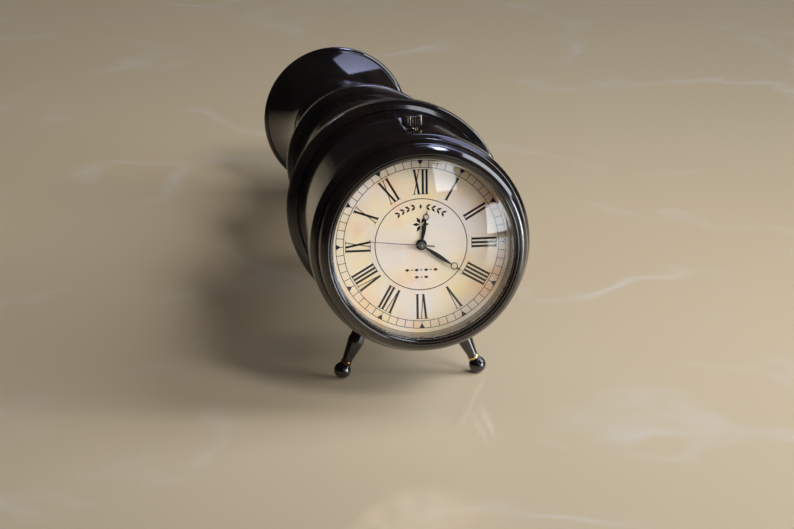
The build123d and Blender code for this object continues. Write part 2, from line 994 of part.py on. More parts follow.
def make_bell():
    """The flared bell: a shell that opens to the rear, with a rolled rim."""
    throat = draw_tube_radius + bell_wall
    socket_end = bell_front + bell_socket
    flare = flare_radius - throat
    run = rim_depth - socket_end
    outer_middle = (throat + 0.26 * flare, socket_end + 0.62 * run)
    inner_middle = (outer_middle[0] - 1.02 * bell_wall, outer_middle[1] + 0.55 * bell_wall)
    return turned(
        (draw_tube_radius, bell_front),
        (throat - 0.5, bell_front),
        (throat, bell_front + 0.5),
        (throat, socket_end),
        (outer_middle, (flare_radius, rim_depth - bell_rim_radius)),
        ((bell_radius, rim_depth), (flare_radius, bell_back)),
        (flare_radius - 0.9, bell_back),
        (flare_radius - 0.9, bell_back - end_cap_inset - end_cap_thickness),
        (inner_middle, (draw_tube_radius, socket_end)),
    )


def make_end_cap():
    """The disc that closes the bell, turned with a low boss and a step at its edge."""
    back = bell_back - end_cap_inset
    radius = flare_radius - 0.9 - fit_clearance
    return turned(
        (0, back - end_cap_thickness),
        (radius, back - end_cap_thickness),
        (radius, back),
        (radius - 2.4, back),
        (radius - 3.0, back - 0.5),
        (radius * 0.4 + 0.6, back - 0.5),
        (radius * 0.4, back),
        (0, back),
    )


# Legs


def leg_place(side):
    """The place of one leg: its Z axis points out and down from the clock's axis."""
    return Pos(0, 0, leg_depth) * Rot(Z=-side * leg_splay) * Rot(X=-90)


def make_leg(side):
    """A turned leg with a shoulder, cut to the drum's curve, and the stud that holds it."""
    leg_end = ball_top - collar_height
    body = turned(
        (0, drum_bore),
        (leg_top_radius, drum_bore),
        (leg_top_radius, drum_radius + 0.8),
        (leg_shoulder_radius, foot_reach - leg_shoulder),
        (leg_foot_radius, leg_end),
        (0, leg_end),
    )
    body = leg_place(side) * body - rod(drum_radius, 0, drum_back)
    stud = leg_place(side) * rod(stud_radius, stud_inner, drum_radius + 1)
    return body + stud


def make_collar(side):
    """The thin collar between a leg and its ball, where the finish wears to bare brass."""
    return leg_place(side) * rod(collar_radius, ball_top - collar_height, ball_top)


def make_ball(side):
    """A ball foot with a small flat where its collar sits."""
    ball = Pos(0, 0, foot_reach) * Sphere(ball_radius)
    ball -= rod(ball_radius, foot_reach - 2 * ball_radius, ball_top)
    return leg_place(side) * ball


def make_leg_nuts():
    """The hexagon nuts inside the drum, whose corners just reach its wall."""
    corner = nut_across_flats / sqrt(3)
    outer = sqrt((drum_bore - fit_clearance) ** 2 - corner**2)
    nuts = []
    for side in (-1, 1):
        hexagon = RegularPolygon(nut_across_flats / 2, 6, major_radius=False)
        nut = Pos(0, 0, outer - nut_height) * extrude(hexagon, nut_height)
        nuts.append(leg_place(side) * (nut - rod(stud_radius, 0, drum_radius)))
    return Compound(children=nuts)


# Standing frame


def standing_tilt():
    """How far the clock tips back until both balls and the bell's rim stand at one level."""
    drop = foot_reach * cos(radians(leg_splay)) - flare_radius
    run = rim_depth - leg_depth
    tilt = atan2(drop, run) + asin((ball_radius - bell_rim_radius) / sqrt(run**2 + drop**2))
    return degrees(tilt)


pieces = {
    "bezel": make_bezel(),
    "glass": make_glass(),
    "reflector_ring": make_reflector(),
    "dial": make_dial(),
    "hour_hand": make_hour_hand(),
    "minute_hand": make_minute_hand(),
    "second_hand": make_second_hand(),
    "hour_wheel": make_hour_wheel(),
    "minute_wheel": make_minute_wheel(),
    "cannon_pinion": make_cannon_pinion(),
    "setting_arbor": make_setting_arbor(),
    "centre_wheel": make_centre_wheel(),
    "third_wheel": make_third_wheel(),
    "seconds_wheel": make_seconds_wheel(),
    "intermediate_wheel": make_intermediate_wheel(),
    "rotor": make_rotor(),
    "front_plate": make_front_plate(),
    "rear_plate": make_rear_plate(),
    "plate_pillars": make_plate_pillars(),
    "plate_screws": make_plate_screws(),
    "motor_coil": make_coil(),
    "motor_stator": make_stator(),
    "circuit_board": make_circuit_board(),
    "board_posts": make_board_posts(),
    "quartz_can": make_quartz(),
    "timing_chip": make_chip(),
    "cell_holder": make_cell_holder(),
    "button_cell": make_cell(),
    "movement_ring": make_movement_ring(),
    "head_case": make_case(),
    "head_lid": make_lid(),
    "setting_stem": make_stem(),
    "stem_clip": make_clip(),
    "stem_tube": make_stem_tube(),
    "crown": make_crown(),
    "drum": make_drum(),
    "flange": make_flange(),
    "spigot": make_spigot(),
    "union_ring": make_union_ring(),
    "barrel": make_barrel(),
    "end_ring": make_end_ring(),
    "shoulder": make_shoulder(),
    "neck_bead": make_bead(),
    "draw_tube": make_draw_tube(),
    "bell": make_bell(),
    "end_cap": make_end_cap(),
    "leg_left": make_leg(-1),
    "leg_right": make_leg(1),
    "leg_collar_left": make_collar(-1),
    "leg_collar_right": make_collar(1),
    "ball_foot_left": make_ball(-1),
    "ball_foot_right": make_ball(1),
    "leg_nuts": make_leg_nuts(),
}

tilt = standing_tilt()
tip_back = Rot(X=-90 - tilt)
standing = {name: tip_back * piece for name, piece in pieces.items()}
corners = [piece.bounding_box() for piece in standing.values()]
lowest = min(box.min.Z for box in corners)
front = min(box.min.Y for box in corners)
back = max(box.max.Y for box in corners)
place = Pos(0, -(front + back) / 2, -lowest)

os.makedirs("parts", exist_ok=True)
for name, piece in standing.items():
    export_step(place * piece, f"parts/{name}.step")

print("tilt", round(tilt, 4))
print("dial centre", [round(value, 4) for value in place.position])
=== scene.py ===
# %% [markdown]
# # A desk clock shaped like a small telescope
# The real clock is a blackened brass tube on two ball feet, with a domed glass over a printed
# dial. Its working parts come from a CAD model, which stays fixed and moves as the real clock
# does. Blender adds what the solids leave out: soft edges, a knurled ring, the printed dial
# and finishes that look used. Loading the model first means that every piece made here can be
# put exactly where its solid is.

# %% Load the CAD model
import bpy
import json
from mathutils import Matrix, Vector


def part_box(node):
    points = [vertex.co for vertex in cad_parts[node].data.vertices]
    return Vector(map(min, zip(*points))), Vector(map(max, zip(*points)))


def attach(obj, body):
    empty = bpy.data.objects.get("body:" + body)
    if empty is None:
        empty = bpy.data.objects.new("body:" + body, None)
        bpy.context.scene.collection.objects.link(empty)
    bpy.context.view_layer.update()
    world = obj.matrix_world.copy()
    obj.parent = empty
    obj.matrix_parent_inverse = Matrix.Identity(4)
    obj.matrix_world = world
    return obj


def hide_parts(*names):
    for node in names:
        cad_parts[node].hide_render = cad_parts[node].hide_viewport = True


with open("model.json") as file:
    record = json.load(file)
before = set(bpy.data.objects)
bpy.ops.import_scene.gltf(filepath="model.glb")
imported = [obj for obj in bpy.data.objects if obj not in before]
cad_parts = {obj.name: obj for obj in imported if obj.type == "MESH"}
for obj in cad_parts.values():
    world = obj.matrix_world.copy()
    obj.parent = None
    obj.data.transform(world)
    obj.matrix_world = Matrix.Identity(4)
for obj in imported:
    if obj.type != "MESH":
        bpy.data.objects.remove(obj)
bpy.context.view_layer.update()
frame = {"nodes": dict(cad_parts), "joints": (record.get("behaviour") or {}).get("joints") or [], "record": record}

# %% [markdown]
# ## The clock's own directions
# The clock leans back on its feet, so hardly anything on it is level. Nearly every piece was
# turned on a lathe, though, and a turned piece is easy to describe about its own spindle. The
# clock's spindle can be read from the model: the hands turn about it, and the crown pulls out
# at a right angle to it. Depths are counted in millimetres behind the dial's printed face.

# %% Find the clock's own directions
import bmesh
import bpy
from math import acos, atan2, cos, pi, radians, sin, sqrt, tan
from mathutils import Matrix, Vector

MM = 0.001
joints = {joint["name"]: joint for joint in frame["joints"]}
rearward = Vector(joints["seconds_spin"]["axis"]).normalized()
upward = Vector(joints["crown_pull"]["axis"]).normalized()
rightward = rearward.cross(upward)
arbor = Vector(joints["seconds_spin"]["pos_m"])


def points_of(node):
    """Every corner point of a CAD node, in metres."""
    return [vertex.co for vertex in frame["nodes"][node].data.vertices]


dial_front = min((point - arbor).dot(rearward) for point in points_of("dial"))
dial_centre = arbor + rearward * dial_front
print("dial centre:", dial_centre, "rearward:", rearward)

# %% [markdown]
# ## Lathes to work on
# A lathe needs a place: where its spindle starts, which way it points, and what counts as
# sideways. One matrix holds all three and the change from millimetres to metres. The clock
# itself is one such lathe, and the crown and the two legs get lathes of their own later. With
# the same matrix, any solid of the CAD model can be measured about that spindle.

# %% Set up the clock's lathe and a way to measure
def lathe_place(origin, outward, sideways):
    """A lathe whose spindle runs outward from origin, for sizes in millimetres."""
    turn = Matrix((sideways, sideways.cross(outward), -outward)).transposed().to_4x4()
    return Matrix.Translation(origin) @ turn @ Matrix.Scale(MM, 4)


def measure(node, place):
    """Front depth, back depth and radius of a CAD node on a lathe, in millimetres."""
    to_lathe = place.inverted()
    local = [to_lathe @ point for point in points_of(node)]
    depths = [-point.z for point in local]
    return min(depths), max(depths), max(point.xy.length for point in local)


clock = lathe_place(dial_centre, rearward, rightward)
print("bezel front, back and radius:", measure("bezel", clock))

# %% [markdown]
# ## The camera
# A camera is found before anything is modelled, so that each piece can be compared with the
# photograph as soon as it exists. The dial is a circle in the real world and an ellipse in
# the picture, and the rings behind it shrink a little with distance. Together they tell that
# the picture was taken with a long lens, from about a metre away, above and left of the dial.

# %% Set the camera
focal_length = 158.7
sensor_width = 36.0
camera_distance = 1.108
camera_bearing = radians(-7.3)
camera_height = radians(17.8)
dial_right_of_middle = 7.57 * MM
dial_above_middle = 6.46 * MM

view_back = Vector((
    sin(camera_bearing) * cos(camera_height),
    -cos(camera_bearing) * cos(camera_height),
    sin(camera_height),
))
view_right = Vector((cos(camera_bearing), sin(camera_bearing), 0.0))
view_up = view_back.cross(view_right)
aim = dial_centre - view_right * dial_right_of_middle - view_up * dial_above_middle

camera_data = bpy.data.cameras.new("camera")
camera_data.lens = focal_length
camera_data.sensor_width = sensor_width
camera = bpy.data.objects.new("camera", camera_data)
scene = bpy.context.scene
scene.collection.objects.link(camera)
facing = Matrix((view_right, view_up, view_back)).transposed().to_4x4()
camera.matrix_world = Matrix.Translation(aim + view_back * camera_distance) @ facing
scene.camera = camera
print("camera at", camera.location)

# %% [markdown]
# ## Light from a window
# Black lacquer shows little colour of its own: what one sees on it is the room. In the
# photograph the room is dark, and a window to the upper right leaves cool bright patches on
# the bezel and the glass. Rectangular area lamps are the simplest stand-in, because they
# reflect as clean rectangles, as window panes do. The two sky lamps light nothing. They are
# there only to be mirrored in the top of the clock.

# %% Hang the window's lamps
daylight = (0.87, 0.92, 1.0)
sky_blue = (0.60, 0.64, 1.0)


def hang(lamp, power, colour, target, direction, distance):
    """Hangs a lamp at a distance from a target, so that it shines back at it."""
    lamp.energy = power
    lamp.color = colour
    holder = bpy.data.objects.new(lamp.name, lamp)
    scene.collection.objects.link(holder)
    direction = direction.normalized()
    facing = direction.to_track_quat("Z", "Y").to_matrix().to_4x4()
    holder.matrix_world = Matrix.Translation(target + direction * distance) @ facing
    return holder


def as_seen(right, up, back):
    """A direction given by how far it goes right, up and back in the picture."""
    return view_right * right + view_up * up + view_back * back


def softbox(name, direction, distance, width, height, power, colour, lights=True):
    """A rectangular lamp that faces the dial. One that lights nothing is only mirrored."""
    lamp = bpy.data.lights.new(name, "AREA")
    lamp.shape = "RECTANGLE"
    lamp.size, lamp.size_y = width, height
    holder = hang(lamp, power, colour, dial_centre, direction, distance)
    holder.visible_camera = False
    holder.visible_diffuse = lights


softbox("window_pane_left", as_seen(0.38, 0.13, 0.91), 1.4, 0.21, 0.27, 0.75, daylight)
softbox("window_pane_right", as_seen(0.70, -0.14, 0.70), 1.4, 0.21, 0.27, 0.95, daylight)
softbox("side_window", as_seen(0.80, 0.58, 0.10), 1.1, 0.80, 0.80, 9.0, daylight)
softbox("low_window", as_seen(0.93, -0.02, 0.36), 1.0, 0.40, 0.30, 5.5, daylight)
softbox("skylight", as_seen(0.26, 0.96, 0.10), 1.6, 0.40, 0.22, 7.0, sky_blue, lights=False)
softbox("sky_behind", as_seen(0.34, 0.84, -0.42), 1.8, 1.2, 0.9, 6.0, sky_blue, lights=False)

# %% [markdown]
# ## Pools of light on the table
# The window alone lights the table too evenly. Soft spotlights from the same side make it
# brightest where it is in the photograph. They are never mirrored, so each can be moved
# without a change to the lacquer. The last one is low and amber, because the table is most
# golden right under the clock.

# %% Pour light on the table
warm_white = (1.0, 0.96, 0.92)
amber = (1.0, 0.83, 0.60)
softness = 0.26


def pool_of_light(name, x, y, direction, distance, cone, power, colour=warm_white):
    """A soft spotlight on one point of the table, with a cone in degrees."""
    lamp = bpy.data.lights.new(name, "SPOT")
    lamp.spot_size = radians(cone)
    lamp.spot_blend = 1.0
    lamp.shadow_soft_size = softness
    holder = hang(lamp, power, colour, Vector((x, y, 0.0)), direction, distance)
    holder.visible_glossy = False


pool_of_light("near_pool", 0.09, 0.03, as_seen(0.42, 0.44, 0.80), 1.25, 25, 54.0)
pool_of_light("far_pool", -0.30, 0.95, Vector((0, 0.3, 1)), 1.2, 60, 14.0)
pool_of_light("front_pool", 0.0, -0.10, as_seen(-0.30, 0.10, 0.95), 1.2, 18, 5.0)
pool_of_light("low_pool", -0.01, -0.09, Vector((0.95, -0.15, 0.40)), 1.1, 16, 42.0, amber)

# %% [markdown]
# ## Nodes from a script
# A material in Blender is a graph of small nodes, joined from socket to socket. By hand one
# would drag each link with the mouse. In a script it is shorter to say what every socket gets:
# a plain value, or the output of another node. Three helpers do that for all finishes here.

# %% Set up nodes
def set_sockets(node, sockets):
    """Gives each named socket of a node its value, or a link from another node."""
    for socket, value in sockets.items():
        if isinstance(value, bpy.types.NodeSocket):
            node.id_data.links.new(value, node.inputs[socket])
        else:
            node.inputs[socket].default_value = value


def add_node(finish, kind, sockets=None, **settings):
    """A shader node with its settings and its sockets."""
    made = finish.node_tree.nodes.new(kind)
    for setting, value in settings.items():
        setattr(made, setting, value)
    set_sockets(made, sockets or {})
    return made


def new_finish(name, slot):
    """An empty finish and its main shader. The slot is the CAD record's name for it."""
    finish = bpy.data.materials.new(name)
    finish.use_nodes = True
    finish["slot"] = slot
    return finish, finish.node_tree.nodes["Principled BSDF"]


print("materials so far:", len(bpy.data.materials))

# %% [markdown]
# ## Patterns, mixes and bumps
# The same few steps come up in every finish: a cloudy pattern, its values stretched, two
# colours mixed by it, and small bumps. Each step gets a helper, so that a finish later on
# reads like its recipe. The patterns are measured on the object in millimetres, because a real
# finish has a size of its own.

# %% Set up patterns, mixes and bumps
def object_place(finish):
    """Where a point of the surface is on its object."""
    return add_node(finish, "ShaderNodeTexCoord").outputs["Object"]


def grain(finish, size, detail=3.0, roughness=0.5, where=None):
    """A cloudy pattern whose blots are about size millimetres across."""
    return add_node(finish, "ShaderNodeTexNoise", {
        "Vector": where or object_place(finish), "Scale": 1.0 / (size * MM),
        "Detail": detail, "Roughness": roughness,
    }).outputs[0]


def spread(finish, value, low, high, to_low=0.0, to_high=1.0):
    """Stretches the values from low to high so that they run between two new ends."""
    return add_node(finish, "ShaderNodeMapRange", {
        "Value": value, "From Min": low, "From Max": high, "To Min": to_low, "To Max": to_high,
    }).outputs[0]


def clouds(finish, size, low, high, to_low=0.0, to_high=1.0, **kind):
    """A cloudy pattern with its values stretched."""
    return spread(finish, grain(finish, size, **kind), low, high, to_low, to_high)


def worked(finish, operation, first, second=0.0):
    """The result of one step of arithmetic on two values."""
    return add_node(finish, "ShaderNodeMath", {0: first, 1: second},
                    operation=operation).outputs[0]


def mixed(finish, share, *pair):
    """Two colours mixed by a share from 0 to 1."""
    first, second = [end + (1,) if isinstance(end, tuple) else end for end in pair]
    return add_node(finish, "ShaderNodeMix", {0: share, 6: first, 7: second},
                    data_type="RGBA").outputs[2]


def relief(finish, height, depth, strength=1.0):
    """Small bumps, depth millimetres high, as a surface direction for a shader."""
    return add_node(finish, "ShaderNodeBump", {
        "Height": height, "Distance": depth * MM, "Strength": strength,
    }).outputs["Normal"]


print("a grain of 2 mm has a scale of", 1.0 / (2 * MM))

# %% [markdown]
# ## The room
# A plain world fills in the shadows. Lacquer would mirror it as an even grey veil, though, and
# the real clock is black between its highlights. The Light Path node tells mirrored rays from
# the rest, so the room can be much dimmer for them.

# %% Dim the room
fill_light = 0.16
mirrored_room = 0.012
scene.view_settings.view_transform = "Standard"
world = bpy.data.worlds.new("room")
scene.world = world
world.use_nodes = True
mirrored = add_node(world, "ShaderNodeLightPath").outputs["Is Glossy Ray"]
set_sockets(world.node_tree.nodes["Background"], {
    "Color": (0.88, 0.80, 0.74, 1),
    "Strength": spread(world, mirrored, 0.0, 1.0, fill_light, mirrored_room),
})
print("the room's light is", fill_light, "and in mirrors", mirrored_room)

# %% [markdown]
# ## The table
# The table in the photograph is polished beige stone with a few soft, pale veins, and it
# mirrors the feet and the dial a little. A large flat sheet is enough for it. A vein is where
# a cloudy pattern crosses its middle value, so a rise and a fall around that value, multiplied,
# draw thin wandering lines. A second pattern fades them in and out.

# %% Lay the table
table_finish, table_shader = new_finish("polished_beige_table", "")
table_tone = clouds(table_finish, 420.0, 0.35, 0.65, detail=2.0)
beige = mixed(table_finish, table_tone, (0.66, 0.55, 0.385), (0.71, 0.60, 0.43))
vein_middle = 0.5
vein_width = 0.025
vein_shape = grain(table_finish, 130.0, 3.0, 0.45)
vein_rise = spread(table_finish, vein_shape, vein_middle - vein_width, vein_middle)
vein_fall = spread(table_finish, vein_shape, vein_middle, vein_middle + vein_width, 1.0, 0.0)
fade = clouds(table_finish, 60.0, 0.45, 0.7, 0.0, 0.6)
vein = worked(table_finish, "MULTIPLY", worked(table_finish, "MULTIPLY", vein_rise, vein_fall),
              fade)
set_sockets(table_shader, {
    "Base Color": mixed(table_finish, vein, beige, (0.80, 0.76, 0.70)),
    "Roughness": clouds(table_finish, 30.0, 0.3, 0.7, 0.06, 0.12),
    "IOR": 1.4,
})

table_half = 4.0
corners = [(-table_half, -table_half), (table_half, -table_half),
           (table_half, table_half), (-table_half, table_half)]
table_mesh = bpy.data.meshes.new("table")
table_mesh.from_pydata([(x, y, 0.0) for x, y in corners], [], [(0, 1, 2, 3)])
table_mesh.materials.append(table_finish)
table = bpy.data.objects.new("table", table_mesh)
scene.collection.objects.link(table)
print("table:", table.dimensions)

# %% [markdown]
# ## Marks that run round a turned piece
# A turning tool leaves fine rings round everything it cuts, and polish never quite removes
# them. Painting them by hand would be endless. They can be worked out instead: two points on
# the same ring have the same depth along the spindle and the same distance from it, so a
# cloudy pattern that reads only those two numbers comes out as rings.

# %% Work out ring marks about the clock's spindle
def vector_step(finish, operation, first, second):
    """One step of arithmetic on two places or directions."""
    return add_node(finish, "ShaderNodeVectorMath", {0: first, 1: second}, operation=operation)


def ring_marks(finish, width):
    """Fine rings round the clock's spindle, about width millimetres apart."""
    offset = vector_step(finish, "SUBTRACT", object_place(finish), dial_centre).outputs[0]
    depth = vector_step(finish, "DOT_PRODUCT", offset, rearward).outputs["Value"]
    square = vector_step(finish, "DOT_PRODUCT", offset, offset).outputs["Value"]
    depth_square = worked(finish, "MULTIPLY", depth, depth)
    radius = worked(finish, "SQRT", worked(finish, "SUBTRACT", square, depth_square))
    rings = add_node(finish, "ShaderNodeCombineXYZ", {0: depth, 1: radius}).outputs[0]
    return grain(finish, width, 2.0, 0.6, rings)


print("ring marks are read about", dial_centre)

# %% [markdown]
# ## Blackened brass
# The case is brass that was blackened in a bath and lacquered. It looks nearly black, but a
# warm brown shows through where the bath was weak, and edges that fingers rub go back to bare
# brass. Colour, metal and roughness of one Principled shader follow the same wear mask. The
# mask comes from an attribute named wear, which the pieces store along their edges, and a
# cloudy pattern chips it so that no edge is even. The shader's clear coat is the lacquer.

# %% Mix the blackened brass
def blackened_brass(name, edge_wear, bare=0.0):
    """Blackened, lacquered brass. A larger edge_wear leaves less of the black on the edges,
    and bare is a share of brass mixed in everywhere: bare brass on the crown, and a painted
    brown reflection of the table on the bezel."""
    finish, shader = new_finish(name, "black_lacquer")
    patches = clouds(finish, 16.0, 0.38, 0.72, detail=4.0)
    black = mixed(finish, patches, (0.0040, 0.0036, 0.0048), (0.015, 0.010, 0.0075))
    brass = mixed(finish, patches, (0.38, 0.26, 0.16), (0.54, 0.41, 0.26))
    rubbed = add_node(finish, "ShaderNodeAttribute", attribute_name="wear").outputs["Fac"]
    eaten = worked(finish, "ADD", grain(finish, 1.1, 5.0, 0.7),
                   worked(finish, "MULTIPLY", rubbed, 0.12))
    chips = spread(finish, eaten, 0.78 - edge_wear, 0.88 - edge_wear)
    uneven = worked(finish, "MULTIPLY", chips, clouds(finish, 9.0, 0.36, 0.60))
    worn = worked(finish, "ADD", worked(finish, "MULTIPLY", uneven, rubbed), bare)
    worn = worked(finish, "MINIMUM", worn, 1.0)
    smears = clouds(finish, 7.0, 0.3, 0.75, 0.07, 0.17, detail=5.0, roughness=0.6)
    set_sockets(shader, {
        "Base Color": mixed(finish, worn, black, brass),
        "Metallic": worn,
        "Roughness": worked(finish, "ADD", smears, spread(finish, worn, 0.0, 1.0, 0.0, 0.15)),
        "Normal": relief(finish, ring_marks(finish, 0.35), 0.0015, 0.5),
        "Coat Weight": 0.9,
        "Coat Roughness": 0.06,
    })
    return finish


black_lacquer = blackened_brass("blackened_brass", 0.06)
print("finish:", black_lacquer.name, "with", len(black_lacquer.node_tree.nodes), "nodes")

# %% [markdown]
# ## Turned pieces with softened corners
# A real turned edge is never sharp: it is broken by a file, then rounded a little more by
# polishing, and that thin round line is what catches the light. A modifier could bevel every
# edge alike, but here each corner of a profile carries its own rounding. The rounded corners
# that point outward also get the wear attribute, and short plain bands beside them keep the
# flats flat when the surface is shaded smooth.

# %% Soften a profile's corners
corner_steps = 5
band_beside_corner = 0.5
fully_worn_rounding = 0.22


def corner_arc(before, corner, after, rounding):
    """The points of a rounded corner, with a plain point beside each end of it."""
    to_before, to_after = before - corner, after - corner
    reach_before, reach_after = to_before.length, to_after.length
    to_before.normalize()
    to_after.normalize()
    half = acos(max(-1.0, min(1.0, to_before.dot(to_after)))) / 2
    back_off = min(rounding / tan(half), 0.45 * min(reach_before, reach_after))
    rounding = back_off * tan(half)
    centre = corner + (to_before + to_after).normalized() * rounding / sin(half)
    start, end = corner + to_before * back_off, corner + to_after * back_off
    sweep = pi - 2 * half
    arc = []
    for step in range(corner_steps + 1):
        share = step / corner_steps
        first = sin((1 - share) * sweep) / sin(sweep)
        second = sin(share * sweep) / sin(sweep)
        arc.append(centre + (start - centre) * first + (end - centre) * second)
    fade_before = min(back_off + band_beside_corner, 0.5 * reach_before)
    fade_after = min(back_off + band_beside_corner, 0.5 * reach_after)
    return corner + to_before * fade_before, arc, corner + to_after * fade_after, rounding


def soften(profile):
    """Turns (radius, depth, rounding, fluting) corners into points with wear and fluting."""
    corners = [Vector(point[:2]) for point in profile]
    area = sum(a.x * b.y - b.x * a.y for a, b in zip(corners, corners[1:] + corners[:1]))
    closed = corners[0].x > 0
    made = []
    for index, point in enumerate(profile):
        rounding = point[2] if len(point) > 2 else 0.0
        fluting = point[3] if len(point) > 3 else 0.0
        corner = corners[index]
        if rounding == 0 or (not closed and index in (0, len(profile) - 1)):
            made.append((corner, 0.0, fluting))
            continue
        before, after = corners[index - 1], corners[(index + 1) % len(corners)]
        bend = (corner - before).cross(after - corner)
        if abs(bend) < 1e-6:
            made.append((corner, 0.0, fluting))
            continue
        plain_before, arc, plain_after, real_rounding = corner_arc(before, corner, after, rounding)
        wear = min(1.0, fully_worn_rounding / real_rounding) if bend * area > 0 else 0.0
        made.append((plain_before, 0.0, fluting))
        made.extend((place, wear, fluting) for place in arc)
        made.append((plain_after, 0.0, fluting))
    return made, closed


sample, _ = soften([(1, 0, 0.2), (2, 0, 0.2), (2, 3, 0.2), (1, 3, 0.2)])
print("a square ring's four corners become", len(sample), "points")

# %% [markdown]
# ## Pieces that belong to the clock
# Each finished piece rides on the CAD body that it belongs to, and its finish names its
# material slot. Then it moves with the model, and the solids that it stands for are hidden.
# Smooth shading makes a turned face look round. It must stop at real edges, so edges with a
# sharper bend than the angle below are marked sharp.

# %% Fit pieces to the clock
smooth_below = radians(38)


def fit_piece(name, mesh, finish, body, stands_for=()):
    """Places a finished mesh in the scene as a piece of the clock."""
    mesh.materials.append(finish)
    piece = bpy.data.objects.new(name, mesh)
    scene.collection.objects.link(piece)
    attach(piece, body)
    if stands_for:
        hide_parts(*stands_for)
    print(name, "rides on", body, "with", len(mesh.vertices), "points")
    return piece


def placed_mesh(bm, name, place):
    """A mesh from an edited one, moved from its lathe into the scene."""
    bmesh.ops.recalc_face_normals(bm, faces=bm.faces)
    mesh = bpy.data.meshes.new(name)
    bm.to_mesh(mesh)
    bm.free()
    mesh.transform(place)
    return mesh


def smoothed(mesh):
    """The mesh with smooth shading, but for its sharp edges."""
    mesh.shade_smooth()
    mesh.set_sharp_from_angle(angle=smooth_below)
    return mesh


print("edges stay smooth below", smooth_below, "radians")

# %% [markdown]
# ## From a profile to a piece
# The profile is swept round the spindle in many small steps. A Screw modifier would do this
# too, but building the mesh directly lets each point keep its wear value, and lets the sweep
# press flutes or a knurl into the rim as it goes round. Where the profile touches the spindle,
# all the steps meet in one point, and the doubles are merged.

# %% Turn a profile into a piece
turning_steps = 240
same_point = 0.0004
crest_wear = 2.3


def lathe(name, profile, finish, stands_for=(), body="clock", place=clock, flutes=0,
          flute_depth=0.0, steps=turning_steps):
    """A turned piece. Where the profile asks for fluting, the rim gets that many flutes."""
    points, closed = soften(profile)
    bm = bmesh.new()
    wear_of = bm.verts.layers.float.new("wear")
    rings = []
    for step in range(steps):
        turn = 2 * pi * step / steps
        crest = 0.5 + 0.5 * cos(flutes * turn)
        dip = flute_depth * (1 - crest)
        ring = []
        for spot, wear, fluting in points:
            radius = spot.x - dip * fluting
            vertex = bm.verts.new((radius * cos(turn), radius * sin(turn), -spot.y))
            vertex[wear_of] = max(wear, crest_wear * fluting * crest ** 3)
            ring.append(vertex)
        rings.append(ring)
    runs = len(points) if closed else len(points) - 1
    for here, there in zip(rings, rings[1:] + rings[:1]):
        for low in range(runs):
            high = (low + 1) % len(points)
            bm.faces.new((here[low], here[high], there[high], there[low]))
    bmesh.ops.remove_doubles(bm, verts=bm.verts, dist=same_point)
    return fit_piece(name, smoothed(placed_mesh(bm, name, place)), finish, body, stands_for)


print("turned pieces get", turning_steps, "steps a turn")

# %% [markdown]
# ## The bezel
# The bezel is the broad stepped ring round the glass. Light runs along its front shoulder and
# its rear band, with a dark groove between them, so those three shapes matter more than any
# other on the clock. Its profile goes once round the ring's section, from the window to the
# rim and back through the skirt that plugs into the drum. A fine bead next to the window is
# where the real one has rubbed bright.

# %% Turn the bezel
bezel_front, skirt_back, bezel_radius = measure("bezel", clock)
glass_top, glass_back, glass_radius = measure("glass", clock)
drum_front, drum_back, drum_radius = measure("drum", clock)
window_radius = 29.0
glass_seat = glass_back - 1.5
front_band_radius = bezel_radius - 2.0
groove_radius = front_band_radius - 0.9
groove_front = -2.0
groove_back = -0.8
skirt_radius = drum_radius - 1.4
skirt_bore = glass_radius + 0.1

# The bezel's small share of brass everywhere is a painted brown reflection of the table.
bezel_lacquer = blackened_brass("blackened_brass_bezel", 0.06, 0.01)
lathe("bezel_ring", [
    (window_radius, glass_seat, 0.05),
    (window_radius, bezel_front + 0.35, 0.25),
    (window_radius + 0.85, bezel_front + 0.05, 0.3),
    (window_radius + 1.15, bezel_front + 0.3, 0.1),
    (window_radius + 1.5, bezel_front, 0.2),
    (window_radius + 2.7, bezel_front + 0.45, 1.6),
    (front_band_radius - 0.4, bezel_front + 1.7, 1.6),
    (front_band_radius, bezel_front + 3.2, 1.2),
    (front_band_radius, groove_front - 0.55, 0.6),
    (groove_radius + 0.15, groove_front, 0.2),
    (groove_radius, groove_back, 0.15),
    (bezel_radius - 1.3, groove_back, 0.5),
    (bezel_radius, groove_back + 2.2, 2.0),
    (bezel_radius, drum_front - 2.2, 1.6),
    (bezel_radius - 0.9, drum_front - 0.4, 0.6),
    (bezel_radius - 1.5, drum_front, 0.3),
    (skirt_radius, drum_front, 0.1),
    (skirt_radius, skirt_back, 0.2),
    (skirt_bore, skirt_back, 0.2),
    (skirt_bore, glass_seat, 0.1),
], bezel_lacquer, ["bezel"])

# %% [markdown]
# ## Arcs for domes, beads and bells
# Much of a turned piece is arcs of a circle. An arc is easiest to place by three points that it
# passes through: two ends and one in between. The circle's centre follows from them by plain
# geometry. A shallow dome is the same arc once more, from its top on the spindle to its rim.

# %% Set up arcs
def arc_through(start, middle, end, steps):
    """Evenly spaced points on the circle through three points of a profile."""
    (ax, ay), (bx, by), (cx, cy) = start, middle, end
    twice_area = 2 * (ax * (by - cy) + bx * (cy - ay) + cx * (ay - by))
    a2, b2, c2 = ax * ax + ay * ay, bx * bx + by * by, cx * cx + cy * cy
    x = (a2 * (by - cy) + b2 * (cy - ay) + c2 * (ay - by)) / twice_area
    y = (a2 * (cx - bx) + b2 * (ax - cx) + c2 * (bx - ax)) / twice_area
    radius = sqrt((ax - x) ** 2 + (ay - y) ** 2)
    first = atan2(ay - y, ax - x)
    way = 1 if twice_area > 0 else -1
    sweep = (way * (atan2(cy - y, cx - x) - first)) % (2 * pi) * way
    turns = [first + sweep * step / steps for step in range(steps + 1)]
    return [(x + radius * cos(turn), y + radius * sin(turn)) for turn in turns]


def dome(rim_radius, rim_depth, top_depth, steps=24):
    """Points of a shallow dome, from its top on the spindle out to its rim."""
    return arc_through((0, top_depth), dome_middle(rim_radius, rim_depth, top_depth),
                       (rim_radius, rim_depth), steps)


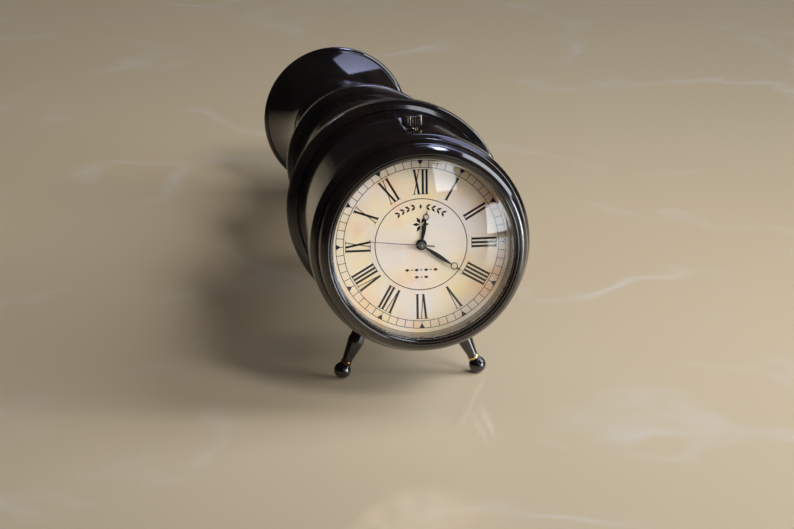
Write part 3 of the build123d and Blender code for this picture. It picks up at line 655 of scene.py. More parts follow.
def dome_middle(rim_radius, rim_depth, top_depth):
    """The point of a dome that is half way out from its top."""
    rise = rim_depth - top_depth
    sphere = (rim_radius ** 2 + rise ** 2) / (2 * rise)
    return rim_radius / 2, top_depth + sphere - sqrt(sphere ** 2 - rim_radius ** 2 / 4)


arc = arc_through((1, 0), (0, 1), (-1, 0), 4)
print("a half circle in four steps:", [(round(x, 2), round(y, 2)) for x, y in arc])

# %% [markdown]
# ## Glass that lets lamplight through
# The glass is a shallow dome that stands a few millimetres proud of the bezel. It bends the
# minute track near its rim, which is a clear sign of real glass, so it is modelled with its
# true thickness and a hollow back. Cycles lets no lamplight straight through refracting
# glass. For shadow rays only, the shader is therefore swapped for a transparent one, and the
# dial beneath is lit as it should be.

# %% Blow the glass
def make_glass():
    """Clear glass with faint smears, which lets shadow rays through."""
    finish, shader = new_finish("clear_glass", "glass")
    set_sockets(shader, {
        "Base Color": (0.985, 0.995, 0.99, 1),
        "Transmission Weight": 1.0,
        "IOR": 1.5,
        "Roughness": clouds(finish, 12.0, 0.45, 0.8, 0.0, 0.035, detail=5.0),
    })
    is_shadow = add_node(finish, "ShaderNodeLightPath").outputs["Is Shadow Ray"]
    clear = add_node(finish, "ShaderNodeBsdfTransparent", {"Color": (0.96, 0.97, 0.97, 1)})
    either = add_node(finish, "ShaderNodeMixShader", {
        0: is_shadow, 1: shader.outputs[0], 2: clear.outputs[0],
    })
    set_sockets(finish.node_tree.nodes["Material Output"], {"Surface": either.outputs[0]})
    return finish


clear_glass = make_glass()
glass_thickness = 1.6
dome_foot = window_radius - 0.1
reflector_bore = glass_radius - 1.6
outside = dome(dome_foot, glass_seat, glass_top)
inside = dome(reflector_bore, glass_back, glass_top + glass_thickness)
lathe("domed_glass", outside + [
    (glass_radius, glass_seat, 0.15),
    (glass_radius, glass_back, 0.15),
] + inside[::-1], clear_glass, ["glass"])

# %% [markdown]
# ## The ring between glass and dial
# A plain metal ring holds the glass off the dial. Seen from the left it shows on the right
# as a grey band with the dial mirrored faintly in it. Satin steel suits it: a metal with a
# middling roughness and fine marks round its bore.

# %% Turn the reflector ring
def satin_steel(name, slot, tone, low_gloss, high_gloss, marks):
    """Satin steel: marks round the spindle, slightly cloudy, with a roughness that varies."""
    finish, shader = new_finish(name, slot)
    darker = tuple(part * 0.82 for part in tone)
    turned = ring_marks(finish, marks)
    set_sockets(shader, {
        "Base Color": mixed(finish, clouds(finish, 5.0, 0.35, 0.7, detail=4.0), tone, darker),
        "Metallic": 1.0,
        "Roughness": spread(finish, turned, 0.3, 0.7, low_gloss, high_gloss),
        "Normal": relief(finish, turned, 0.003, 0.6),
    })
    return finish


reflector_steel = satin_steel("reflector_steel", "reflector_steel", (0.30, 0.29, 0.29),
                              0.16, 0.30, 0.12)
reflector_front, reflector_back, reflector_radius = measure("reflector_ring", clock)
lathe("reflector", [
    (reflector_bore, reflector_front, 0.1),
    (reflector_radius, reflector_front, 0.1),
    (reflector_radius, reflector_back, 0.1),
    (reflector_bore - 0.3, reflector_back, 0.1),
    (reflector_bore - 0.3, reflector_back - 0.5, 0.1),
], reflector_steel, ["reflector_ring"])

# %% [markdown]
# ## The dial's paper
# The dial is printed to look like old parchment: cream, with blurred patches of yellow, peach
# and a pale pinkish grey. Three cloudy patterns of different size mix those colours, which
# keeps any one of them from looking like a repeat. A very fine pattern adds the paper's
# tooth to both colour and surface.

# %% Make the parchment dial
def parchment():
    """Mottled cream paper."""
    finish, shader = new_finish("parchment", "dial_parchment")
    cream, yellow = (0.70, 0.58, 0.41), (0.74, 0.565, 0.30)
    peach, pale, brown = (0.73, 0.46, 0.29), (0.66, 0.58, 0.53), (0.55, 0.42, 0.25)
    shifted = add_node(finish, "ShaderNodeMapping", {
        "Vector": object_place(finish), "Location": (0.31, 0.17, 0.43),
    }).outputs[0]
    tone = mixed(finish, clouds(finish, 11.0, 0.45, 0.68), cream, yellow)
    tone = mixed(finish, clouds(finish, 8.0, 0.49, 0.70, where=shifted), tone, peach)
    faded = clouds(finish, 15.0, 0.42, 0.62, detail=4.0, roughness=0.55, where=shifted)
    tone = mixed(finish, faded, tone, pale)
    fibre = clouds(finish, 0.35, 0.3, 0.7, detail=4.0, roughness=0.7)
    set_sockets(shader, {
        "Base Color": mixed(finish, worked(finish, "MULTIPLY", fibre, 0.12), tone, brown),
        "Roughness": spread(finish, fibre, 0.0, 1.0, 0.48, 0.62),
        "Normal": relief(finish, fibre, 0.004, 0.4),
    })
    return finish


dial_paper = parchment()
dial_face, dial_back, dial_radius = measure("dial", clock)
centre_hole = 1.6
lathe("dial_plate", [
    (centre_hole, dial_face, 0.05),
    (dial_radius, dial_face, 0.1),
    (dial_radius, dial_back, 0.1),
    (centre_hole, dial_back, 0.05),
], dial_paper, ["dial"])

# %% [markdown]
# ## Printing ink
# The numerals and the minute track could be a picture laid on the dial, but shapes stay sharp
# at any distance and need no picture file. Every line is a very thin slab that starts inside
# the paper and ends a few hundredths of a millimetre above it. One helper draws any flat
# polygon as such a slab, in the dial's own millimetres with twelve o'clock up.

# %% Set up the ink
def printing_ink(name, tone):
    """Matt ink, a little uneven where the paper took less of it."""
    finish, shader = new_finish(name, "hand_black")
    thin = clouds(finish, 0.5, 0.5, 0.8, 0.0, 0.4, detail=4.0, roughness=0.7)
    paler = tuple(part * 2.0 + 0.008 for part in tone)
    set_sockets(shader, {
        "Base Color": mixed(finish, thin, tone, paler),
        "Roughness": clouds(finish, 1.5, 0.3, 0.7, 0.45, 0.65),
        "Specular IOR Level": 0.12,
    })
    return finish


black_ink = printing_ink("black_ink", (0.004, 0.004, 0.006))
grey_ink = printing_ink("grey_ink", (0.012, 0.012, 0.024))
ink_height = 0.03
ink_root = -0.10


def print_slab(bm, outline, lift=0.0):
    """Adds a polygon of (x, y) points in millimetres as a thin slab of ink."""
    top = [bm.verts.new((x, y, ink_height + lift)) for x, y in outline]
    root = [bm.verts.new((x, y, ink_root)) for x, y in outline]
    bm.faces.new(top)
    bm.faces.new(root[::-1])
    for index in range(len(outline)):
        after = (index + 1) % len(outline)
        bm.faces.new((top[after], top[index], root[index], root[after]))


def print_ring(bm, middle, width, steps=360):
    """Adds a printed circle, as a thin ring of ink."""
    inner, outer = middle - width / 2, middle + width / 2
    loops = []
    for radius, height in ((inner, ink_root), (inner, ink_height),
                           (outer, ink_height), (outer, ink_root)):
        turns = [2 * pi * step / steps for step in range(steps)]
        loops.append([bm.verts.new((radius * sin(t), radius * cos(t), height)) for t in turns])
    for first, second in zip(loops, loops[1:] + loops[:1]):
        for step in range(steps):
            after = (step + 1) % steps
            bm.faces.new((first[step], first[after], second[after], second[step]))


def fit_print(name, bm, finish):
    """Turns drawn ink into a piece that lies on the dial."""
    return fit_piece(name, placed_mesh(bm, name, clock), finish, "clock")


print("ink stands", ink_height, "mm above the paper")

# %% [markdown]
# ## The minute track
# The track is a railway: two thin circles with sixty cross lines between them. Every fifth
# line is covered by a solid triangle that stands on the outer circle and points inward. A loop
# over the minutes draws it all, which also makes certain that the spacing is even.

# %% Print the minute track
track_outer = 27.0
track_inner = 24.6
chapter_radius = 14.6
line_width = 0.20
chapter_width = 0.26
triangle_base = 1.9
triangle_height = 1.6


def towards(minute, radius, aside=0.0):
    """The point of the dial at a minute and a radius, moved aside clockwise."""
    turn = 2 * pi * minute / 60
    return (radius * sin(turn) + aside * cos(turn), radius * cos(turn) - aside * sin(turn))


track = bmesh.new()
print_ring(track, track_outer, line_width)
print_ring(track, track_inner, line_width)
print_ring(track, chapter_radius, chapter_width)
triangles = bmesh.new()
for minute in range(60):
    if minute % 5 == 0:
        print_slab(triangles, [
            towards(minute, track_outer, -triangle_base / 2),
            towards(minute, track_outer, triangle_base / 2),
            towards(minute, track_outer - triangle_height),
        ], 0.004)
    print_slab(track, [
        towards(minute, track_inner, -line_width / 2),
        towards(minute, track_inner, line_width / 2),
        towards(minute, track_outer, line_width / 2),
        towards(minute, track_outer, -line_width / 2),
    ], -0.004)
fit_print("minute_track", track, grey_ink)
fit_print("five_minute_triangles", triangles, grey_ink)

# %% [markdown]
# ## Three Roman letters
# Every numeral is built from three letters. An I is one thick upright, a V has a thick stroke
# falling to the right and a thin one rising, and an X crosses the same two. Thin serifs close
# the ends, a little longer on the thick strokes. Drawing them from a few widths costs less than
# fitting a typeface, and the strokes stay as condensed as they are in the photograph.

# %% Draw the letters
numeral_bottom = 16.0
numeral_top = 24.0
thick_stroke = 0.70
thin_stroke = 0.26
serif_height = 0.20
letter_width = {"I": 1.22, "V": 2.75, "X": 2.75}
thick_serif, thin_serif = 1.25, 1.05
side_space = 0.62


def slanted(x_bottom, x_top, width):
    """A stroke from the bottom of a numeral to its top."""
    return [(x_bottom - width / 2, numeral_bottom), (x_bottom + width / 2, numeral_bottom),
            (x_top + width / 2, numeral_top), (x_top - width / 2, numeral_top)]


def serif(x, y, width):
    """A thin line across the end of a stroke."""
    inward = serif_height if y < (numeral_bottom + numeral_top) / 2 else -serif_height
    return [(x - width / 2, y), (x + width / 2, y), (x + width / 2, y + inward),
            (x - width / 2, y + inward)]


def letter_strokes(letter, middle):
    """The polygons of one letter, with its middle at x."""
    half = letter_width[letter] / 2
    left, right = middle - half + side_space, middle + half - side_space
    top_serifs = [serif(left, numeral_top, thick_serif), serif(right, numeral_top, thin_serif)]
    if letter == "I":
        ends = [serif(middle, end, 2 * half + 0.02) for end in (numeral_bottom, numeral_top)]
        return [slanted(middle, middle, thick_stroke)] + ends
    if letter == "V":
        return [slanted(middle + 0.1, left, thick_stroke),
                slanted(middle + 0.22, right, thin_stroke)] + top_serifs
    return [slanted(right, left, thick_stroke), slanted(left, right, thin_stroke)] + top_serifs + [
        serif(left, numeral_bottom, thin_serif), serif(right, numeral_bottom, thick_serif)]


print("an X has", len(letter_strokes("X", 0.0)), "strokes and serifs")

# %% [markdown]
# ## Roman numerals
# The numerals stand with their tops outward all the way round. Each one is set out upright, as
# a printer would, and then turned to its hour about the dial's centre. Four is written IIII, as
# on most clock dials. Strokes that overlap get slightly different heights, because two faces in
# exactly the same place would flicker.

# %% Print the numerals
numerals = ["XII", "I", "II", "III", "IIII", "V", "VI", "VII", "VIII", "IX", "X", "XI"]
hours_print = bmesh.new()
for hour, numeral in enumerate(numerals):
    turn = 2 * pi * hour / 12
    x = -sum(letter_width[letter] for letter in numeral) / 2
    for letter in numeral:
        middle = x + letter_width[letter] / 2
        x += letter_width[letter]
        for order, outline in enumerate(letter_strokes(letter, middle)):
            turned = [(px * cos(turn) + py * sin(turn), py * cos(turn) - px * sin(turn))
                      for px, py in outline]
            print_slab(hours_print, turned, 0.003 * order)
fit_print("roman_numerals", hours_print, black_ink)

# %% [markdown]
# ## A small ornament inside the circle
# The middle of a dial needs something printed, or it looks unfinished. A plain, old motif is
# enough here: a garland of leaves follows the circle at the top, a rosette with six petals
# sits above the hands, and two short rows of lozenges fill the space below them. All of it
# comes from one diamond shape, turned and stretched.

# %% Print the ornament
def diamond(x, y, half_length, half_width, lean):
    """A slim lozenge whose long way leans by an angle from twelve o'clock."""
    along, across = (sin(lean), cos(lean)), (cos(lean), -sin(lean))
    return [(x + along[0] * a + across[0] * b, y + along[1] * a + across[1] * b)
            for a, b in ((half_length, 0), (0, half_width), (-half_length, 0), (0, -half_width))]


petal_count = 6
petal_size = (1.25, 0.55)
petal_out = 1.45
rosette_height = 6.4
garland_radius = 12.1
garland_marks = 9
garland_spacing = radians(8.4)
leaf_size = (0.92, 0.38)
leaf_out = 0.8
leaf_lean = radians(52)
bud_size = (0.85, 0.42)
lozenge_spacing = 1.5
lozenge_rows = ((-8.2, 7), (-10.5, 3))

ornament = bmesh.new()
for petal in range(petal_count):
    lean = 2 * pi * (petal + 0.5) / petal_count
    print_slab(ornament, diamond(petal_out * sin(lean), rosette_height + petal_out * cos(lean),
                                 *petal_size, lean), 0.002 * petal)
for mark in range(garland_marks):
    place = mark - garland_marks // 2
    turn = garland_spacing * place
    x, y = garland_radius * sin(turn), garland_radius * cos(turn)
    if place == 0:
        print_slab(ornament, diamond(x, y, *bud_size, turn))
        continue
    way = 1 if place > 0 else -1
    for fold in (leaf_lean, pi - leaf_lean):
        lean = turn + way * fold
        print_slab(ornament, diamond(x + leaf_out * sin(lean), y + leaf_out * cos(lean),
                                     *leaf_size, lean), 0.003)
for height, marks in lozenge_rows:
    for mark in range(marks):
        x = lozenge_spacing * (mark - (marks - 1) / 2)
        size = 0.8 if mark % 2 == 0 else 0.4
        print_slab(ornament, diamond(x, height, size, size * 0.6, pi / 2))
fit_print("dial_ornament", ornament, black_ink)

# %% [markdown]
# ## Hands cut from thin sheet
# A hand is flat metal with an outline that is the same on both sides, so its outline can be
# given as one number: its half width at each distance from the centre. The hub, the leaf, the
# open ring and the tip each give a half width, and the largest of them wins. The lengths were
# measured against the dial in the photograph.

# %% Draw the hands' outlines
hand_step = 0.06
leaf_waist = 0.17
tip_width = 0.42
hour_length, minute_length, second_length, second_tail = 11.4, 16.0, 16.5, 4.1


def circle(radius, y=0.0, steps=64):
    """A circle's outline, centred on the line of a hand."""
    turns = [2 * pi * step / steps for step in range(steps)]
    return [(radius * cos(turn), y + radius * sin(turn)) for turn in turns]


def outline_of(half_width, bottom, top):
    """A closed outline from a half width that depends on the distance along the hand."""
    steps = round((top - bottom) / hand_step)
    spots = [bottom + (top - bottom) * step / steps for step in range(steps + 1)]
    right = [(max(half_width(y), 0.0), y) for y in spots]
    return right + [(-x, y) for x, y in right[-2:0:-1]]


def leaf_hand(length, width, ring_place, ring_radius, hub_radius):
    """The half width of a leaf-shaped hand with a ring before its tip."""
    def half_width(y):
        parts = [0.0]
        if abs(y) < hub_radius:
            parts.append(sqrt(hub_radius ** 2 - y * y))
        if abs(y - ring_place) < ring_radius:
            parts.append(sqrt(ring_radius ** 2 - (y - ring_place) ** 2))
        if 0 < y < ring_place - ring_radius / 2:
            share = y / (ring_place - ring_radius / 2)
            swell = sin(pi * share ** 1.15) ** 1.3
            parts.append(leaf_waist + (width / 2 - leaf_waist) * swell)
        if y > ring_place + ring_radius / 2:
            share = (length - y) / (length - ring_place - ring_radius / 2)
            parts.append(tip_width * share ** 1.4)
        return max(parts)

    return half_width


def needle(y):
    """The half width of the second hand: a hub, a thin needle and a thicker tail."""
    hub = sqrt(1.0 - y * y) if abs(y) < 1.0 else 0.0
    thin = 0.24 if y < 0 else 0.13 - 0.05 * y / second_length
    return max(hub, thin)


needle_outline = outline_of(needle, -second_tail, second_length)
print("the second hand's outline has", len(needle_outline), "points")

# %% [markdown]
# ## Paint for the hands
# The hour and minute hands are a satin black. The second hand is greyer: it is so thin that a
# black one would look too strong. Both get faint scratches, since a hand is polished before it
# is painted. Little specular light keeps them dark against the bright dial.

# %% Mix the hands' paint
def hand_metal(name, tone, gloss):
    """Painted hand metal, with fine scratches."""
    finish, shader = new_finish(name, "hand_black")
    paler = tuple(part * 1.9 + 0.004 for part in tone)
    cloud = clouds(finish, 1.8, 0.3, 0.7, detail=4.0)
    set_sockets(shader, {
        "Base Color": mixed(finish, cloud, tone, paler),
        "Roughness": clouds(finish, 0.6, 0.3, 0.7, gloss, gloss + 0.14, detail=5.0),
        "Normal": relief(finish, grain(finish, 0.2), 0.002, 0.5),
        "Specular IOR Level": 0.2,
    })
    return finish


black_hands = hand_metal("black_hands", (0.006, 0.0055, 0.006), 0.26)
grey_hand = hand_metal("grey_second_hand", (0.07, 0.07, 0.08), 0.34)
print("paints:", black_hands.name, grey_hand.name)

# %% [markdown]
# ## Hands, cut out
# A 2D curve fills an outline, leaves out the holes inside it, and bevels its edges, all with no
# modelling. It is turned into a mesh straight away, nearly as thick as the CAD solid that it
# stands for, and turned to the time in the photograph. The two leaf hands come from one
# function, because they differ only in their sizes.

# %% Cut the hands
hand_bevel = 0.035
thickest = 0.22
ring_wall = 0.28


def cut_hand(name, outlines, node, body, angle, finish):
    """A flat hand as thick as its CAD node, turned to its place on the dial."""
    front, back, _ = measure(node, clock)
    back = min(back, front + thickest)
    curve = bpy.data.curves.new(name, "CURVE")
    curve.dimensions = "2D"
    curve.fill_mode = "BOTH"
    curve.extrude = (back - front) / 2 - hand_bevel
    curve.bevel_depth = hand_bevel
    curve.bevel_resolution = 2
    curve.offset = -hand_bevel
    for outline in outlines:
        spline = curve.splines.new("POLY")
        spline.points.add(len(outline) - 1)
        for point, (x, y) in zip(spline.points, outline):
            point.co = (x, y, 0, 1)
        spline.use_cyclic_u = True
    drawn = bpy.data.objects.new(name + "_outline", curve)
    mesh = bpy.data.meshes.new_from_object(drawn)
    bpy.data.objects.remove(drawn)
    place = Matrix.Translation((0, 0, -(front + back) / 2)) @ Matrix.Rotation(-angle, 4, "Z")
    mesh.transform(clock @ place)
    mesh.name = name
    return fit_piece(name, smoothed(mesh), finish, body, [node])


def cut_leaf(name, node, body, angle, hole, length, width, ring_place, ring_radius, hub_radius):
    """A leaf-shaped hand with an open ring before its tip and a hole in its hub."""
    shape = leaf_hand(length, width, ring_place, ring_radius, hub_radius)
    cut_hand(name, [
        outline_of(shape, -hub_radius, length),
        circle(ring_radius - ring_wall, ring_place),
        circle(hole),
    ], node, body, angle, black_hands)


cut_leaf("hour_leaf", "hour_hand", "hours", radians(10.4), hole=1.35, length=hour_length,
         width=1.25, ring_place=8.9, ring_radius=1.0, hub_radius=1.75)
cut_leaf("minute_leaf", "minute_hand", "minutes", radians(124.6), hole=0.9,
         length=minute_length, width=1.3, ring_place=12.5, ring_radius=1.15, hub_radius=1.5)
cut_hand("second_needle", [needle_outline, circle(0.35)],
         "second_hand", "seconds", radians(276.0), grey_hand)

# %% [markdown]
# ## The boss on the second hand
# A second hand is pushed on by a little turned tube, which shows as a bright dot with a dark
# ring round it. It is tiny, yet without it the middle of the dial looks like flat paper. It
# turns with the second hand, so it rides on the same body.

# %% Turn the boss
bright_steel = satin_steel("bright_steel", "steel", (0.62, 0.62, 0.63), 0.2, 0.34, 0.1)
dark_steel = satin_steel("dark_steel", "steel", (0.09, 0.09, 0.10), 0.22, 0.36, 0.1)
second_front, _, _ = measure("second_hand", clock)
boss_radius = 0.66
lathe("second_hand_boss", [
    (0.0, second_front - 0.16),
    (0.22, second_front - 0.16, 0.05),
    (0.30, second_front - 0.26, 0.05),
    (0.52, second_front - 0.24, 0.06),
    (boss_radius, second_front - 0.05, 0.05),
    (boss_radius, second_front + 0.05, 0.02),
    (0.0, second_front + 0.05),
], dark_steel, body="seconds", steps=64)

# %% [markdown]
# ## The crown
# The setting knob sticks out of the drum, so it gets a lathe of its own whose spindle runs up
# out of the clock. Its ribs are pressed into the rim as the profile goes round. The base stays
# plain, as on the real one, where the ribs stop short of a narrow collar. Fingers touch this
# piece more than any other, so its finish has the most bare brass.

# %% Turn the crown
crown_hinge = Vector(joints["crown_turn"]["pos_m"])
crown_start = crown_hinge - upward * (crown_hinge - dial_centre).dot(upward)
crown_place = lathe_place(crown_start, upward, rightward)
crown_base, crown_top, crown_radius = measure("crown", crown_place)
rib_count = 24
rib_depth = 0.5
crown_lacquer = blackened_brass("blackened_brass_crown", 0.06, 0.04)

lathe("ribbed_crown", [
    (0.0, crown_base),
    (crown_radius - 1.0, crown_base, 0.1),
    (crown_radius - 0.95, crown_base + 0.35, 0.1),
    (crown_radius - 0.15, crown_base + 0.55, 0.25, 0.6),
    (crown_radius, crown_base + 0.95, 0.2, 1.0),
    (crown_radius, crown_top - 0.35, 0.2, 1.0),
    (crown_radius - 0.4, crown_top, 0.2, 0.6),
    (crown_radius - 1.3, crown_top, 0.3),
    (0.0, crown_top),
], crown_lacquer, ["crown"], body="crown", place=crown_place, flutes=rib_count,
    flute_depth=rib_depth, steps=rib_count * 10)

# %% [markdown]
# ## The drum
# The drum is a plain tube between the bezel and the knurled ring. Its ends are chamfered, so a
# hairline shows at each joint. The crown's stem goes in through its wall: a Boolean modifier
# cuts that hole, and is applied straight away so that the piece keeps a plain mesh.

# %% Turn the drum and bore it for the stem
def bored(piece, radius, start, end, place):
    """Cuts a round hole through a piece, along a lathe's spindle."""
    bm = bmesh.new()
    bmesh.ops.create_cone(bm, cap_ends=True, segments=64, radius1=radius, radius2=radius,
                          depth=end - start)
    bmesh.ops.translate(bm, verts=bm.verts, vec=(0, 0, -(start + end) / 2))
    cutter = bpy.data.objects.new("cutter", bpy.data.meshes.new("cutter"))
    bm.to_mesh(cutter.data)
    bm.free()
    cutter.data.transform(place)
    scene.collection.objects.link(cutter)
    cut = piece.modifiers.new("hole", "BOOLEAN")
    cut.operation = "DIFFERENCE"
    cut.solver = "EXACT"
    cut.object = cutter
    bpy.context.view_layer.update()
    seen = piece.evaluated_get(bpy.context.evaluated_depsgraph_get())
    whole = bpy.data.meshes.new_from_object(seen)
    piece.modifiers.clear()
    piece.data = whole
    bpy.data.objects.remove(cutter)


drum_bore = drum_radius - 1.3
drum = lathe("drum_tube", [
    (drum_bore, drum_front, 0.1),
    (drum_radius - 0.35, drum_front, 0.15),
    (drum_radius, drum_front + 0.5, 0.3),
    (drum_radius, drum_back - 0.4, 0.2),
    (drum_radius - 0.2, drum_back, 0.1),
    (drum_bore, drum_back, 0.1),
], black_lacquer, ["drum"])
stem_hole = 2.1
bored(drum, stem_hole, drum_bore - 3, drum_radius + 3, crown_place)
print("the drum's wall is", drum_radius - drum_bore, "mm thick")

# %% [markdown]
# ## The knurled union ring
# The ring that joins the two halves is gripped with the fingers, so its edge is knurled with
# fine straight teeth, not quite a millimetre apart. At that size a bump texture would be
# enough from far away, but the outline would stay smooth. The teeth are therefore real: the
# sweep takes four steps for each of them. The crests of the teeth carry the most wear, and a
# rounded chamfer in front of them catches the sky.

# %% Turn and knurl the union ring
union_front, union_back, union_radius = measure("union_ring", clock)
_, flange_back, _ = measure("flange", clock)
barrel_front, barrel_back, barrel_radius = measure("barrel", clock)
knurl_pitch = 0.85
knurl_teeth = round(2 * pi * union_radius / knurl_pitch)
union_bore = drum_radius + 0.1
rear_bore = barrel_radius + 1.0

lathe("knurled_union_ring", [
    (union_bore, union_front, 0.1),
    (union_bore + 0.45, union_front, 0.2),
    (union_radius - 1.7, union_front + 0.35, 1.0),
    (union_radius - 0.5, union_front + 0.9, 0.4),
    (union_radius, union_front + 1.3, 0.12, 1.0),
    (union_radius, union_back - 0.8, 0.12, 1.0),
    (union_radius - 0.3, union_back - 0.55, 0.15, 0.5),
    (union_radius - 1.0, union_back - 0.1, 0.3),
    (union_radius - 3.2, union_back, 0.2),
    (union_radius - 3.6, union_back - 0.35, 0.2),
    (rear_bore + 1.6, union_back - 0.35, 0.2),
    (rear_bore + 1.2, union_back, 0.2),
    (rear_bore, union_back, 0.15),
    (rear_bore, flange_back, 0.1),
    (union_bore, flange_back, 0.1),
], black_lacquer, ["union_ring"], flutes=knurl_teeth, flute_depth=0.4, steps=knurl_teeth * 4)
print("the union ring has", knurl_teeth, "teeth")

# %% [markdown]
# ## The barrel
# Behind the ring the tube gets slimmer, as a telescope does. The barrel is plain but for two
# pairs of shallow lines near its ends, which a turner scores to hide a joint or to break up a
# long plain face. A line is three corners of the profile, so a small function makes each one.

# %% Turn the barrel
barrel_bore = barrel_radius - 1.2
line_depth = 0.22
line_half_width = 0.3
line_places = (union_back + 3.0, union_back + 4.4, barrel_back - 4.4, barrel_back - 3.0)


def scored_line(depth):
    """Three corners of a shallow line cut round the barrel."""
    return [(barrel_radius, depth - line_half_width, 0.08),
            (barrel_radius - line_depth, depth, 0.08),
            (barrel_radius, depth + line_half_width, 0.08)]


lathe("barrel_tube", [
    (barrel_bore, barrel_front, 0.1),
    (barrel_radius, barrel_front, 0.1),
] + [corner for depth in line_places for corner in scored_line(depth)] + [
    (barrel_radius, barrel_back, 0.1),
    (barrel_bore, barrel_back, 0.1),
], black_lacquer, ["barrel"])

# %% [markdown]
# ## The end ring
# A heavier ring closes the barrel, with a lip that plugs into it. Its edge is rounded and
# milled more coarsely than the knurl, for a thumb to turn. It is mostly hidden in the
# photograph, and follows what such brass telescopes usually have.

# %% Turn and mill the end ring
lip_front, end_ring_back, end_ring_radius = measure("end_ring", clock)
lip_radius = barrel_bore - 0.1
milled_teeth = 180
lathe("milled_end_ring", [
    (lip_radius - 1.8, lip_front, 0.1),
    (lip_radius, lip_front, 0.1),
    (lip_radius, barrel_back, 0.1),
    (barrel_radius + 0.9, barrel_back, 0.2),
    (end_ring_radius - 0.5, barrel_back + 0.3, 0.3, 0.3),
    (end_ring_radius, barrel_back + 0.9, 0.2, 1.0),
    (end_ring_radius, end_ring_back - 0.9, 0.2, 1.0),
    (end_ring_radius - 0.5, end_ring_back - 0.3, 0.3, 0.3),
    (barrel_radius + 0.6, end_ring_back, 0.3),
    (lip_radius - 1.8, end_ring_back, 0.1),
], black_lacquer, ["end_ring"], flutes=milled_teeth, flute_depth=0.26, steps=milled_teeth * 6)

# %% [markdown]
# ## The shoulder
# A shoulder leads from the end ring down to the much slimmer draw tube. A straight cone would
# look like a funnel, so a turner makes it a cove: a hollow curve between two small steps. Its
# curve is one more arc through three points.

# %% Turn the coved shoulder
shoulder_front, shoulder_back, shoulder_radius = measure("shoulder", clock)
draw_front, draw_back, draw_radius = measure("draw_tube", clock)
cove = arc_through(
    (shoulder_radius - 0.5, shoulder_front + 2.1),
    (shoulder_radius - 3.1, shoulder_front + 0.62 * (shoulder_back - shoulder_front)),
    (draw_radius + 1.7, shoulder_back - 0.7), 16)
lathe("coved_shoulder", [
    (draw_radius, shoulder_front, 0.1),
    (shoulder_radius, shoulder_front, 0.2),
    (shoulder_radius, shoulder_front + 1.5, 0.35),
    (shoulder_radius - 0.5, shoulder_front + 1.7, 0.15),
] + cove + [
    (draw_radius + 1.6, shoulder_back, 0.25),
    (draw_radius, shoulder_back, 0.1),
], black_lacquer, ["shoulder"])

# %% [markdown]
# ## Draw tube and bead
# The draw tube slides in a real telescope. Here it is fixed, and a round bead dresses the
# joint behind the shoulder. A bead is simply half a circle on the profile, with a small
# fillet line on each side that a turner would leave.

# %% Turn the draw tube and its bead
lathe("draw_tube_piece", [
    (draw_radius - 1.2, draw_front, 0.1),
    (draw_radius, draw_front, 0.1),
    (draw_radius, draw_back, 0.1),
    (draw_radius - 1.2, draw_back, 0.1),
], black_lacquer, ["draw_tube"])

bead_front, bead_back, bead_radius = measure("neck_bead", clock)
bead_arc = arc_through((draw_radius + 0.8, bead_front + 0.7),
                       (bead_radius, (bead_front + bead_back) / 2),
                       (draw_radius + 0.8, bead_back - 0.7), 16)
lathe("turned_bead", [
    (draw_radius, bead_front, 0.05),
    (draw_radius + 0.8, bead_front, 0.15),
] + bead_arc + [
    (draw_radius + 0.8, bead_back, 0.15),
    (draw_radius, bead_back, 0.05),
], black_lacquer, ["neck_bead"])

# %% [markdown]
# ## The bell
# The rear form is a flared bell with a rolled rim, which is also the clock's third foot. It
# was spun from sheet, so its wall is even and it carries no sharp step. The outside is one
# long arc; the rim is nearly a full circle. A disc closes it a little way in, as the
# photograph shows no daylight through the clock.

# %% Spin the bell and close it
bell_front, bell_back, bell_radius = measure("bell", clock)
cap_front, cap_back, cap_radius = measure("end_cap", clock)
bell_wall = 1.2
rim_roll = 1.5
socket_back = bell_front + 6.0
throat = draw_radius + bell_wall
flare = bell_radius - rim_roll
rim_middle = bell_back - rim_roll
flare_start = flare - throat
run = rim_middle - socket_back
outer_middle = (throat + 0.26 * flare_start, socket_back + 0.62 * run)
outer_arc = arc_through((throat, socket_back), outer_middle, (flare, rim_middle - rim_roll), 40)
rim_arc = arc_through((flare, rim_middle - rim_roll), (bell_radius, rim_middle),
                      (flare, bell_back), 18)
inner_middle = (outer_middle[0] - 1.02 * bell_wall, outer_middle[1] + 0.55 * bell_wall)
inner_arc = arc_through((flare - 0.9, cap_front), inner_middle, (draw_radius, socket_back), 30)
lathe("flared_bell", [
    (draw_radius, bell_front, 0.05),
    (throat - 0.4, bell_front, 0.2),
    (throat, bell_front + 0.6, 0.3),
    (throat, bell_front + 1.6, 0.05),
    (throat - 0.2, bell_front + 1.9, 0.05),
    (throat, bell_front + 2.2, 0.05),
] + outer_arc + rim_arc[1:] + [
    (flare - 0.9, bell_back, 0.25),
] + inner_arc, black_lacquer, ["bell"])

lathe("bell_end_cap", [
    (0.0, cap_front),
    (cap_radius, cap_front, 0.1),
    (cap_radius, cap_back, 0.25),
    (cap_radius - 2.4, cap_back, 0.3),
    (cap_radius - 3.0, cap_back - 0.5, 0.3),
    (cap_radius * 0.72, cap_back - 0.5, 0.05),
    (cap_radius * 0.71, cap_back - 0.65, 0.05),
    (cap_radius * 0.70, cap_back - 0.5, 0.05),
    (cap_radius * 0.4 + 0.6, cap_back - 0.5, 0.2),
    (cap_radius * 0.4, cap_back, 0.3),
    (2.2, cap_back, 0.2),
    (1.7, cap_back - 0.35, 0.2),
    (0.0, cap_back - 0.35),
], black_lacquer, ["end_cap"])

# %% [markdown]
# ## Bare brass
# Brass that has lost its black shows on the right leg's collar, and the wheels of the movement
# are brass too. Old brass is never one colour: brown tarnish sits in its pits, and is duller
# than the metal round it. One pattern therefore drives both the colour and the roughness.

